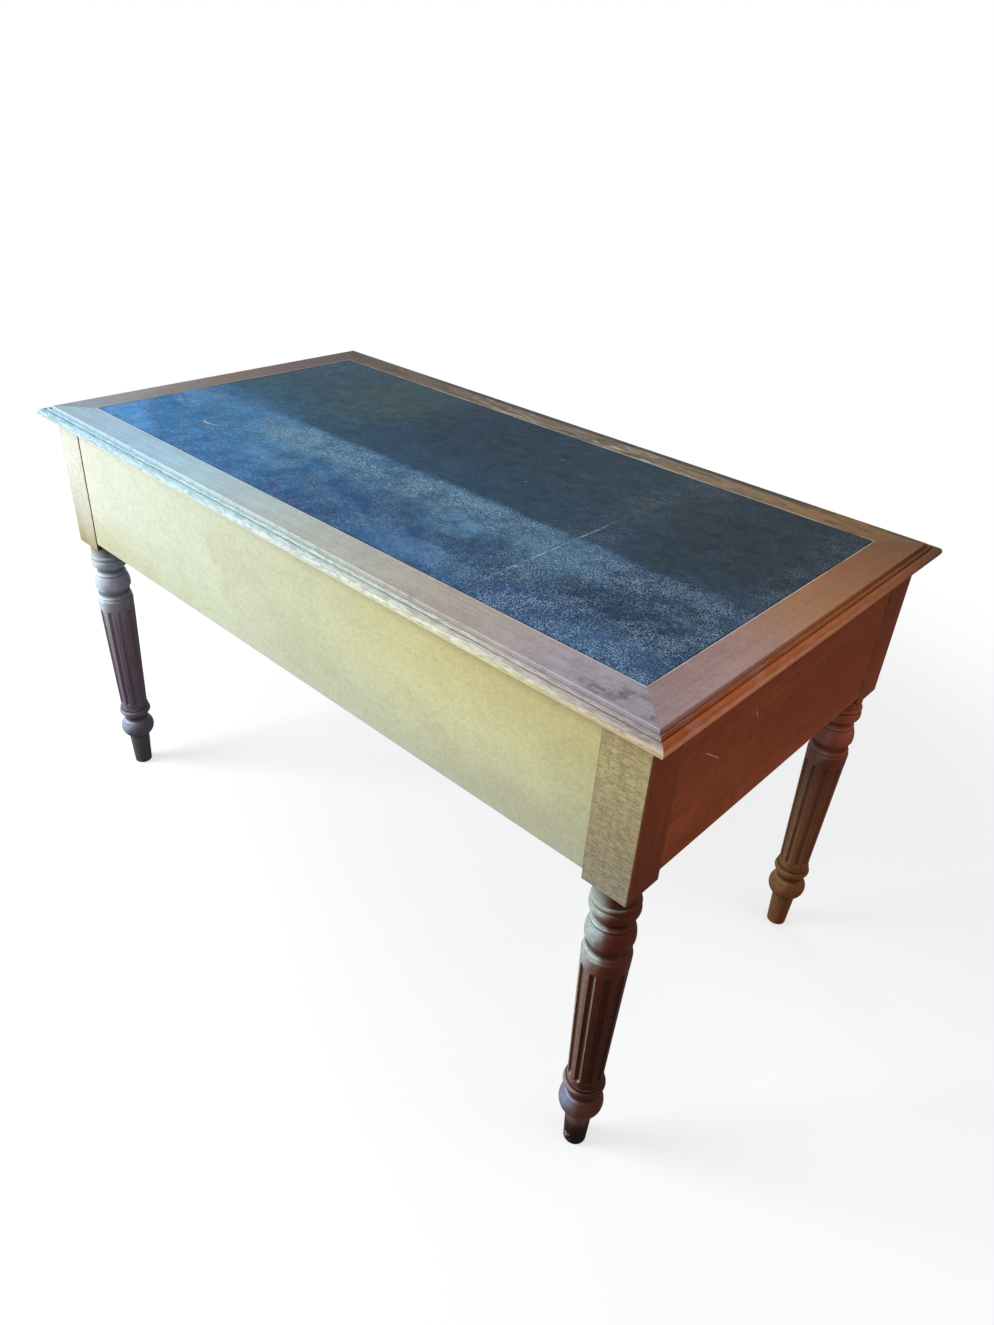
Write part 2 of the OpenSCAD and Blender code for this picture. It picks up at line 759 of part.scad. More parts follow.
// A drawer bottom, slid in from behind and held in three grooves
module drawer_bottom(w) {
    bw = w - 2 * side_t + 2 * groove_d - 4 * glue;
    y0 = front_y + front_t - groove_d + 2 * glue;
    color(oak_raw) translate([-bw / 2, y0, groove_up + glue]) cube([bw, back_face - y0, bottom_t]);
}

// A turned knob with its rose, seated on a drawer front
module knob() {
    neck = 5;
    crown = 5;
    foot = 3;
    color(brass) rotate([90, 0, 0]) difference() {
        rotate_extrude() {
            square([rose_r - rose_t, rose_t]);
            intersection() {
                translate([rose_r - rose_t, 0]) circle(rose_t);
                square([rose_r, rose_t]);
            }
            square([neck, knob_reach - crown]);
            difference() {
                square([neck + foot, rose_t + foot]);
                translate([neck + foot, rose_t + foot]) circle(foot);
            }
            intersection() {
                union() {
                    translate([knob_r - crown, knob_reach - crown]) circle(crown);
                    translate([0, knob_reach - 2 * crown]) square([knob_r - crown, 2 * crown]);
                }
                square([knob_r, knob_reach]);
            }
        }
        translate([0, 0, -past]) cylinder(h = knob_hole + past, r = screw_r + glue);
    }
}

// Knob screw from inside the drawer, with its head against the front's inner face
module knob_screw() {
    head_h = 2.5;
    color(steel) rotate([90, 0, 0]) {
        translate([0, 0, -front_t]) cylinder(h = front_t + knob_hole - 1, r = screw_r);
        translate([0, 0, -front_t - head_h]) cylinder(h = head_h, r = head_r);
    }
}

side_drawer_w = side_open_w - 2 * side_gap;
side_drawer_h = side_open_h - run_gap - top_gap;
side_tails = 4;
centre_drawer_w = centre_w - 2 * side_gap;
centre_drawer_h = centre_h - run_gap - top_gap;
centre_tails = 2;
centre_knobs = [-knob_off, knob_off];

module at_side(sx) {
    translate([sx * side_mid_x, 0, side_z + run_gap]) children();
}

module at_centre() {
    translate([0, 0, centre_z + run_gap]) children();
}

module side_knob(sx) {
    at_side(sx) translate([0, front_y, side_drawer_h / 2]) knob();
}

module side_screw(sx) {
    at_side(sx) translate([0, front_y, side_drawer_h / 2]) knob_screw();
}

color(oak_dark) front_leg(-1, turn_front_left);  // leg_front_left
color(oak_dark) front_leg(1, turn_front_right);  // leg_front_right
color(oak_dark) back_leg(-1, turn_back_left);  // leg_back_left
color(oak_dark) back_leg(1, turn_back_right);  // leg_back_right
back_panel();
end_panel(-1);  // end_panel_left
end_panel(1);  // end_panel_right
front_top_rail();
lower_rail_side(-1);  // lower_rail_left
lower_rail_centre();
lower_rail_side(1);  // lower_rail_right
divider(-1);  // divider_left
divider(1);  // divider_right
partition(-1);  // partition_left
partition(1);  // partition_right
outer_runner(-1);  // runner_left_outer
inner_strip(-1, apron_z);  // runner_left_inner
inner_strip(1, apron_z);  // runner_right_inner
outer_runner(1);  // runner_right_outer
centre_strip(-1, centre_z - front_rail_h);  // runner_centre_left
centre_strip(1, centre_z - front_rail_h);  // runner_centre_right
guide(-1);  // guide_left
guide(1);  // guide_right
outer_kicker(-1);  // kicker_left_outer
inner_strip(-1, top_rail_z);  // kicker_left_inner
inner_strip(1, top_rail_z);  // kicker_right_inner
outer_kicker(1);  // kicker_right_outer
centre_strip(-1, top_rail_z);  // kicker_centre_left
centre_strip(1, top_rail_z);  // kicker_centre_right
drawer_stops();
glue_blocks();
top_screws();
top_rail(180, top_len, top_dep);  // top_rail_front
top_rail(0, top_len, top_dep);  // top_rail_back
top_rail(90, top_dep, top_len);  // top_rail_left
top_rail(-90, top_dep, top_len);  // top_rail_right
ground_panel();
leather_skin(0, seam_from_end);  // leather_end
leather_skin(seam_from_end, leather_len);  // leather_main
at_side(-1) drawer_front(side_drawer_w, side_drawer_h, side_tails, [0]);  // drawer_left_front
at_side(-1) drawer_side(side_drawer_w, side_drawer_h, side_tails);  // drawer_left_side_outer
at_side(-1) mirror([1, 0, 0]) drawer_side(side_drawer_w, side_drawer_h, side_tails);  // drawer_left_side_inner
at_side(-1) drawer_back(side_drawer_w, side_drawer_h, side_tails);  // drawer_left_back
at_side(-1) drawer_bottom(side_drawer_w);  // drawer_left_bottom
side_knob(-1);  // drawer_left_knob
side_screw(-1);  // drawer_left_screw
at_centre() drawer_front(centre_drawer_w, centre_drawer_h, centre_tails, centre_knobs);  // drawer_centre_front
at_centre() drawer_side(centre_drawer_w, centre_drawer_h, centre_tails);  // drawer_centre_side_left
at_centre() mirror([1, 0, 0]) drawer_side(centre_drawer_w, centre_drawer_h, centre_tails);  // drawer_centre_side_right
at_centre() drawer_back(centre_drawer_w, centre_drawer_h, centre_tails);  // drawer_centre_back
at_centre() drawer_bottom(centre_drawer_w);  // drawer_centre_bottom
at_centre() for (x = centre_knobs) translate([x, front_y, centre_drawer_h / 2]) knob();  // drawer_centre_knobs
at_centre() for (x = centre_knobs) translate([x, front_y, centre_drawer_h / 2]) knob_screw();  // drawer_centre_screws
at_side(1) drawer_front(side_drawer_w, side_drawer_h, side_tails, [0]);  // drawer_right_front
at_side(1) drawer_side(side_drawer_w, side_drawer_h, side_tails);  // drawer_right_side_inner
at_side(1) mirror([1, 0, 0]) drawer_side(side_drawer_w, side_drawer_h, side_tails);  // drawer_right_side_outer
at_side(1) drawer_back(side_drawer_w, side_drawer_h, side_tails);  // drawer_right_back
at_side(1) drawer_bottom(side_drawer_w);  // drawer_right_bottom
side_knob(1);  // drawer_right_knob
side_screw(1);  // drawer_right_screw
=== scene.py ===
"""A flat-topped oak writing desk with a worn leather field, seen from behind over one corner."""
import bpy
import numpy as np
from mathutils import Matrix, Vector


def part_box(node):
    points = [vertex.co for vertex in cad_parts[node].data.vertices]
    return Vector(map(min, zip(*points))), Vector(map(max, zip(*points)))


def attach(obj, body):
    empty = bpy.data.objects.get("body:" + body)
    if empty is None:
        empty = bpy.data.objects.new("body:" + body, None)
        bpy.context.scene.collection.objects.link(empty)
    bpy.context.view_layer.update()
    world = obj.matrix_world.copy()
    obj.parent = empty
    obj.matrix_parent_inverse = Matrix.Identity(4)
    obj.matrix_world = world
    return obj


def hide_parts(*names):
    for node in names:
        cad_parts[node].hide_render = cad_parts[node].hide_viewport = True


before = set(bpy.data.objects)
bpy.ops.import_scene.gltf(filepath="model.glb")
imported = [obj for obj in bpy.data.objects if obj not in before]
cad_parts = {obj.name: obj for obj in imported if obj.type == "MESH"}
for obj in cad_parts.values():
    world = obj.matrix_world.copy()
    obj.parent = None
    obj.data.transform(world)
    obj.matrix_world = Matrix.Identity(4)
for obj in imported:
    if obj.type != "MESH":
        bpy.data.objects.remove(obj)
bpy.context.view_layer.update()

scene = bpy.context.scene
scene.view_settings.view_transform = "Standard"

# Camera
# It stands 0.9 m from the top's back left corner and looks down across the leather. Its place and its
# two directions were solved from the corners of the top, the panels, the posts and the feet.
camera_place = Vector((-0.9976, 1.0017, 1.2925))
camera_ahead = Vector((0.55504, -0.63996, -0.53140)).normalized()
camera_right = Vector((-0.72928, -0.68166, 0.05919)).normalized()
camera_up = camera_right.cross(camera_ahead).normalized()

camera_data = bpy.data.cameras.new("camera")
camera_data.sensor_width = 36.0
camera_data.lens = 25.651
camera = bpy.data.objects.new("camera", camera_data)
turn = Matrix((camera_right, camera_up, -camera_ahead)).transposed()
camera.matrix_world = Matrix.Translation(camera_place) @ turn.to_4x4()
scene.collection.objects.link(camera)
scene.camera = camera

# Floor and light
# The desk stands on a pale floor in a pale room. A broad window lamp stands beyond the desk's +X back
# corner, a cooler one beyond the +X front corner shines along the leather, a weak lamp hangs above, a
# weak warm one reaches the -X end panel, and the room's even light fills the rest.
room = bpy.data.worlds.new("room")
scene.world = room
room.use_nodes = True


def wire(tree, kind, settings=None, **inputs):
    """One node of a material: its settings, then its inputs by name, or by number as i0, i1 and so on.
    Each input is a value, another node's socket, or another node, which stands for its first socket."""
    node = tree.nodes.new(kind)
    for key, value in (settings or {}).items():
        setattr(node, key, value)
    for key, value in inputs.items():
        socket = node.inputs[int(key[1:])] if key[1:].isdigit() else node.inputs[key.replace("_", " ")]
        if isinstance(value, bpy.types.Node):
            value = value.outputs[0]
        if isinstance(value, bpy.types.NodeSocket):
            tree.links.new(value, socket)
        else:
            socket.default_value = value
    return node


sky = room.node_tree
sky.nodes.clear()
ray = wire(sky, "ShaderNodeLightPath").outputs
seen = wire(sky, "ShaderNodeMath", {"operation": "MAXIMUM"}, i0=ray["Is Camera Ray"], i1=ray["Is Glossy Ray"])
seen = wire(sky, "ShaderNodeMath", {"operation": "MAXIMUM"}, i0=seen, i1=ray["Is Transmission Ray"])
fill = wire(sky, "ShaderNodeBackground", Color=(0.93, 0.96, 1.0, 1), Strength=0.40)
white = wire(sky, "ShaderNodeBackground", Color=(1, 1, 1, 1), Strength=1.0)
either = wire(sky, "ShaderNodeMixShader", i0=seen, i1=fill, i2=white)
wire(sky, "ShaderNodeOutputWorld", Surface=either)


def lamp(name, place, target, size, power, colour, mirrored=True):
    """A square lamp at place that faces target, that no camera sees and that glossy faces may mirror."""
    data = bpy.data.lights.new(name, "AREA")
    data.shape = "SQUARE"
    data.size = size
    data.energy = power
    data.color = colour
    piece = bpy.data.objects.new(name, data)
    piece.location = place
    piece.rotation_euler = (Vector(target) - Vector(place)).to_track_quat("-Z", "Y").to_euler()
    piece.visible_camera = False
    piece.visible_glossy = mirrored
    scene.collection.objects.link(piece)


lamp("window", (2.0, 2.4, 1.9), (0.2, 0.2, 0.5), 1.6, 115, (0.96, 0.98, 1.0))
lamp("cool_window", (2.5, -1.5, 1.15), (0.3, 0.1, 0.72), 1.3, 26, (0.62, 0.82, 1.0), False)
lamp("room_lamp", (-1.2, 0.2, 2.8), (0, 0, 0.6), 1.8, 12, (1.0, 0.97, 0.93))
lamp("warm_lamp", (-2.6, -0.7, 1.2), (-0.6, -0.1, 0.5), 1.4, 6, (1.0, 0.84, 0.68))

floor_half, shaded_within, white_beyond = 9.0, 1.0, 2.0
corners = [(x * floor_half, y * floor_half, 0.0) for x, y in ((-1, -1), (1, -1), (1, 1), (-1, 1))]
floor_mesh = bpy.data.meshes.new("floor")
floor_mesh.from_pydata(corners, [], [(0, 1, 2, 3)])
floor = bpy.data.objects.new("floor", floor_mesh)
scene.collection.objects.link(floor)
floor_paint = bpy.data.materials.new("floor_paint")
floor_paint.use_nodes = True
paint = floor_paint.node_tree
paint.nodes.clear()
ray = wire(paint, "ShaderNodeLightPath").outputs
lit = wire(paint, "ShaderNodeBsdfDiffuse", Color=(0.42, 0.42, 0.42, 1))
glow = wire(paint, "ShaderNodeEmission", Color=(1, 1, 1, 1), Strength=0.62)
shaded = wire(paint, "ShaderNodeAddShader", i0=lit, i1=glow)
white = wire(paint, "ShaderNodeEmission", Color=(1, 1, 1, 1), Strength=1.0)
spot = wire(paint, "ShaderNodeTexCoord").outputs["Object"]
distance = wire(paint, "ShaderNodeVectorMath", {"operation": "LENGTH"}, i0=spot).outputs["Value"]
whiter = wire(paint, "ShaderNodeMapRange", {"interpolation_type": "SMOOTHSTEP"},
              Value=distance, From_Min=shaded_within, From_Max=white_beyond)
ground = wire(paint, "ShaderNodeMixShader", i0=whiter, i1=shaded, i2=white)
bounce = wire(paint, "ShaderNodeBsdfDiffuse", Color=(0.3, 0.29, 0.28, 1))
either = wire(paint, "ShaderNodeMixShader", i0=ray["Is Camera Ray"], i1=bounce, i2=ground)
wire(paint, "ShaderNodeOutputMaterial", Surface=either)
floor_mesh.materials.append(floor_paint)


# Legs
# Each leg is one length of oak: a square post that takes the panels, and below it a column turned on the
# lathe, fluted by hand and stained dark. Wax and painted shade lie in the flutes and between the beads,
# with painted highlights on the edges beside them. The sides that face the window are painted lighter and
# greyer as lit and the other sides painted darker as shaded, and the +Y faces of the two back posts are
# bleached by sun and painted paler where the window light falls.
def tint(red, green, blue):
    """A colour written as on a screen, 0 to 255, turned into light by the screen's curve."""
    values = np.array([red, green, blue]) / 255.0
    light = np.where(values <= 0.04045, values / 12.92, ((values + 0.055) / 1.055) ** 2.4)
    return (*(float(v) for v in light), 1.0)


class Coat:
    """A finish that is built up in steps: each step returns a socket that the next one can use."""

    def __init__(self, name, roughness):
        self.material = bpy.data.materials.new(name)
        self.material.use_nodes = True
        self.tree = self.material.node_tree
        self.tree.nodes.clear()
        self.shader = wire(self.tree, "ShaderNodeBsdfPrincipled", Roughness=roughness)
        wire(self.tree, "ShaderNodeOutputMaterial", Surface=self.shader)
        spot = wire(self.tree, "ShaderNodeTexCoord")
        self.place = spot.outputs["Object"]
        self.x, self.y, self.z = wire(self.tree, "ShaderNodeSeparateXYZ", i0=self.place).outputs
        facing = wire(self.tree, "ShaderNodeSeparateXYZ", i0=spot.outputs["Normal"])
        self.facing_x, self.facing_y, self.facing_z = facing.outputs

    def reckon(self, operation, first, *others):
        """Arithmetic on a number alone, or on two and more from left to right."""
        for other in others or (0.0,):
            first = wire(self.tree, "ShaderNodeMath", {"operation": operation}, i0=first, i1=other).outputs[0]
        return first

    def times(self, *values):
        return self.reckon("MULTIPLY", *values)

    def plus(self, *values):
        return self.reckon("ADD", *values)

    def less(self, *values):
        return self.reckon("SUBTRACT", *values)

    def most(self, *values):
        return self.reckon("MAXIMUM", *values)

    def away(self, a, b=0.0):
        """How far a is from b, either way."""
        return self.reckon("ABSOLUTE", self.less(a, b))

    def rise(self, value, low, high, top=1.0):
        """A smooth rise from 0 at low to top at high, or a fall where low is the larger."""
        return wire(self.tree, "ShaderNodeMapRange", {"interpolation_type": "SMOOTHSTEP"}, Value=value,
                    From_Min=low, From_Max=high, To_Min=0.0, To_Max=top).outputs[0]

    def stretch(self, scale, shift=(0, 0, 0)):
        """The place on the piece, scaled by axis and then shifted."""
        return wire(self.tree, "ShaderNodeMapping", Vector=self.place, Location=shift, Scale=scale).outputs[0]

    def noise(self, scale, detail, rough, warp=0.0, shift=(0, 0, 0)):
        """Clouds from 0 to 1, by one scale or by one for each axis: they are long where it is small."""
        scales = scale if isinstance(scale, tuple) else (scale, scale, scale)
        return wire(self.tree, "ShaderNodeTexNoise", Vector=self.stretch(scales, shift), Scale=1.0,
                    Detail=detail, Roughness=rough, Distortion=warp).outputs["Fac"]

    def vector(self, operation, output, **inputs):
        """Arithmetic on places and directions."""
        return wire(self.tree, "ShaderNodeVectorMath", {"operation": operation}, **inputs).outputs[output]

    def from_line(self, middle, half=(1.0, 1.0)):
        """How far a spot is from an upright line, in parts of half a width and of half a depth."""
        (x, y), (wide, deep) = middle, half
        off = self.stretch((1 / wide, 1 / deep, 0), (-x / wide, -y / deep, 0))
        return self.vector("LENGTH", "Value", i0=off)

    def blend(self, share, first, second, mode="MIX"):
        """A colour between first and second."""
        settings = {"data_type": "RGBA", "blend_type": mode, "clamp_factor": True}
        return wire(self.tree, "ShaderNodeMix", settings, i0=share, i6=first, i7=second).outputs[2]

    def lay(self, colour, paint, *shares):
        """A colour with a paint laid over it by the product of the shares."""
        return self.blend(self.times(*shares) if shares[1:] else shares[0], colour, paint)

    def fade(self, value, *stops):
        """A colour that runs through stops along value. A stop is a place and the three numbers of a
        screen colour, or the four of one that is light already."""
        first, last = stops[0][0], stops[-1][0]
        share = wire(self.tree, "ShaderNodeMapRange", Value=value, From_Min=first, From_Max=last)
        ramp = wire(self.tree, "ShaderNodeValToRGB", Fac=share)
        ramp.color_ramp.interpolation = "B_SPLINE"
        while len(ramp.color_ramp.elements) < len(stops):
            ramp.color_ramp.elements.new(1.0)
        for element, (place, *colour) in zip(ramp.color_ramp.elements, stops):
            element.position = (place - first) / (last - first)
            element.color = colour if len(colour) == 4 else tint(*colour)
        return ramp.outputs[0]

    def shade(self, colour, share):
        """A colour made darker or lighter, a little warmer where it is darker."""
        return self.blend(1.0, colour, (share, share ** 1.1, share ** 1.2, 1), "MULTIPLY")

    def around(self, tone, darker, lighter):
        """A tone between its own darker and lighter shades, as oak takes it."""
        return self.shade(tone, darker), tone, self.shade(tone, lighter)

    def mottle(self, colour, pattern, *patches, of=None):
        """A colour shaded where a pattern is high or low. A patch has the value where it starts, the one
        where it is full, its share, and its shade of the colour or of another one."""
        for start, full, share, depth in patches:
            shaded = self.shade(colour if of is None else of, depth)
            colour = self.lay(colour, shaded, self.rise(pattern, start, full, share))
        return colour

    def scratch(self, start, end, width):
        """A line between two points of a face, thinning out to width at each side. The distance from a
        spot to a stretch is its distance to the nearest point of that stretch."""
        run = Vector(end) - Vector(start)
        off = self.vector("SUBTRACT", 0, i0=self.place, i1=Vector(start))
        along = self.vector("DOT_PRODUCT", "Value", i0=off, i1=run)
        share = wire(self.tree, "ShaderNodeMath", {"operation": "DIVIDE", "use_clamp": True}, i0=along,
                     i1=run.length_squared)
        nearest = self.vector("SCALE", 0, i0=run, Scale=share)
        return self.rise(self.vector("DISTANCE", "Value", i0=off, i1=nearest), width, width * 0.3)

    def close(self, colour, height, depth=0.0003, shine=0.25, strength=0.5):
        """Feeds the shader and returns the material. Height is in parts of depth, in metres."""
        relief = wire(self.tree, "ShaderNodeBump", Strength=strength, Distance=depth, Height=height)
        self.tree.links.new(relief.outputs[0], self.shader.inputs["Normal"])
        self.tree.links.new(colour, self.shader.inputs["Base Color"])
        self.shader.inputs["Specular IOR Level"].default_value = shine
        return self.material


def dress(name, material):
    """Gives a node its material."""
    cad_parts[name].data.materials.clear()
    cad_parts[name].data.materials.append(material)


def drawn_out(along, by_grain, across):
    """Scales that run a pattern along the grain: small along it and large across it."""
    return tuple(by_grain if axis == along else across for axis in "XYZ")


def oak(coat, along, seed, tones, flecks, pores):
    """Oak as the saw shows it, in a dark, a middle and a light tone. Broad bands and fine year rings run
    along the grain, pores are short dark lines in the soft part of each ring, and the rays show as pale
    flecks lying across the grain. Returns the colour and the height of the surface."""
    dark, middle, light = tones
    shift = (seed * 1.37, seed * 2.11, seed * 0.73)
    bands = coat.noise(drawn_out(along, 1.3, 11.0), 3.0, 0.55, 0.4, shift)
    rings = coat.noise(drawn_out(along, 5.0, 210.0), 3.0, 0.6, 0.3, shift)
    tubes = coat.noise(drawn_out(along, 75.0, 1500.0), 2.0, 0.5, 0.0, shift)
    rays = coat.noise(drawn_out(along, 260.0, 46.0), 2.0, 0.5, 1.2, shift)
    soft = coat.rise(rings, 0.42, 0.62)
    holes = coat.times(coat.rise(tubes, 0.56, 0.68), coat.plus(coat.times(soft, 0.7), 0.3))
    colour = coat.blend(coat.rise(bands, 0.3, 0.72), dark, light)
    colour = coat.lay(colour, middle, 0.5)
    colour = coat.lay(colour, dark, soft, 0.35)
    colour = coat.lay(colour, light, coat.rise(rays, 0.57, 0.66), flecks, 0.6)
    colour = coat.lay(colour, coat.shade(dark, 0.45), holes, pores)
    return colour, coat.less(coat.times(rings, 0.35), coat.times(holes, 0.8))


def worn_edges(coat, node, reach=0.004):
    """How far a spot lies on an edge of a board: of its distances to the three pairs of faces the middle
    one is its distance to the nearest edge, and a noise breaks the wear up."""
    low, high = (Vector(c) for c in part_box(node))
    middle, half = (low + high) / 2, (high - low) / 2
    gaps = [coat.less(h, coat.away(axis, m)) for axis, m, h in zip((coat.x, coat.y, coat.z), middle, half)]
    least, most = coat.reckon("MINIMUM", *gaps[:2]), coat.most(*gaps[:2])
    second = coat.most(least, coat.reckon("MINIMUM", most, gaps[2]))
    chips = coat.noise(60.0, 3.0, 0.6)
    return coat.times(coat.rise(second, reach, 0.0005), coat.rise(chips, 0.35, 0.62))


stain = tint(122, 54, 27), tint(148, 69, 36), tint(172, 92, 56)
bare_edge = tint(176, 134, 98)
# The square of each post ends 13 mm below the panels
post_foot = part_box("back_panel")[0][2] - 0.013
# Height and radius of the fluted shaft at its two ends
shaft_low, shaft_high = (0.1415, 0.0246), (0.3915, 0.0320)
# Heights over which the shaft gives way to the beads above it and to those below it
to_upper_beads, to_lower_beads = (0.375, 0.390), (0.150, 0.140)
# Wax and painted shade lie in these grooves: their heights from the floor, and half of the width of each
grooves = {0.0700: 0.003, 0.1170: 0.007, 0.1395: 0.003, 0.3982: 0.001, 0.4095: 0.008, 0.4183: 0.001,
           0.4452: 0.001, 0.4560: 0.007, 0.4788: 0.001, 0.4875: 0.001, 0.5090: 0.003}
wide_groove = 0.005
# The colour of each turned leg from the floor upwards
leg_runs = {
    "leg_back_left": (
        (0.0, 52, 27, 20), (0.03, 40, 19, 13), (0.045, 58, 33, 28), (0.06, 142, 108, 94),
        (0.085, 116, 74, 62), (0.13, 88, 46, 34), (0.25, 90, 47, 35), (0.36, 100, 53, 39),
        (0.41, 120, 66, 50), (0.44, 104, 50, 37), (0.5, 112, 58, 43)),
    "leg_back_right": (
        (0.0, 94, 90, 92), (0.07, 97, 92, 98), (0.1, 118, 106, 124), (0.2, 124, 106, 120),
        (0.3, 138, 119, 130), (0.37, 146, 134, 144), (0.41, 186, 180, 194), (0.45, 190, 200, 222),
        (0.5, 150, 156, 172)),
    "leg_front_left": (
        (0.0, 130, 79, 42), (0.1, 132, 82, 50), (0.25, 137, 81, 53), (0.35, 140, 84, 60),
        (0.385, 92, 48, 32), (0.43, 198, 108, 80), (0.5, 160, 84, 60)),
    "leg_front_right": (
        (0.0, 104, 60, 42), (0.5, 104, 60, 42))}
# The painted highlight on each leg where it faces the window, also from the floor upwards
leg_highlights = {
    "leg_back_left": (
        (0.0, 34, 24, 24), (0.045, 52, 40, 38), (0.06, 130, 106, 98), (0.08, 126, 118, 124),
        (0.095, 138, 152, 182), (0.12, 136, 144, 164), (0.15, 184, 156, 140), (0.34, 188, 176, 158),
        (0.385, 170, 186, 186), (0.43, 190, 204, 204), (0.5, 186, 204, 198)),
    "leg_back_right": (
        (0.0, 80, 80, 82), (0.07, 88, 88, 92), (0.09, 152, 160, 186), (0.12, 178, 188, 208),
        (0.15, 120, 114, 120), (0.3, 150, 140, 144), (0.36, 164, 164, 166), (0.385, 216, 238, 248),
        (0.43, 196, 208, 224), (0.5, 226, 238, 244)),
    "leg_front_left": (
        (0.0, 124, 90, 58), (0.1, 138, 104, 72), (0.2, 158, 128, 100), (0.34, 148, 122, 106),
        (0.41, 160, 116, 108), (0.5, 140, 104, 90)),
    "leg_front_right": (
        (0.0, 136, 100, 80), (0.5, 136, 100, 80))}
# For each leg: how far round it the painted highlight reaches and how strong it is, how dark the painted
# shade on its other side is, and how dark its flutes are
leg_shares = {"leg_back_left": (0.0, 1.0, 0.62, 0.35), "leg_back_right": (0.42, 1.0, 0.2, 0.08),
              "leg_front_left": (0.18, 1.0, 0.45, 0.10), "leg_front_right": (-0.1, 0.4, 0.3, 0.2)}
# How much darker each post's stain is made, from the foot upwards
post_shades = {"leg_back_left": ((0.51, 0.50), (0.60, 0.74), (0.74, 0.90)),
               "leg_front_left": ((0.51, 0.94), (0.62, 0.70), (0.74, 0.46))}
# The +Y faces of the back posts, bleached by sun and painted paler where the window light falls, the one
# at +X almost white, from the foot upwards
bleach_and_light = {
    "leg_back_left": (
        (0.51, 160, 152, 131), (0.58, 163, 149, 117), (0.66, 186, 173, 130), (0.71, 190, 175, 130),
        (0.74, 182, 162, 116)),
    "leg_back_right": (
        (0.51, 168, 158, 112), (0.545, 204, 200, 172), (0.6, 218, 218, 202), (0.66, 228, 230, 214),
        (0.74, 226, 229, 214))}


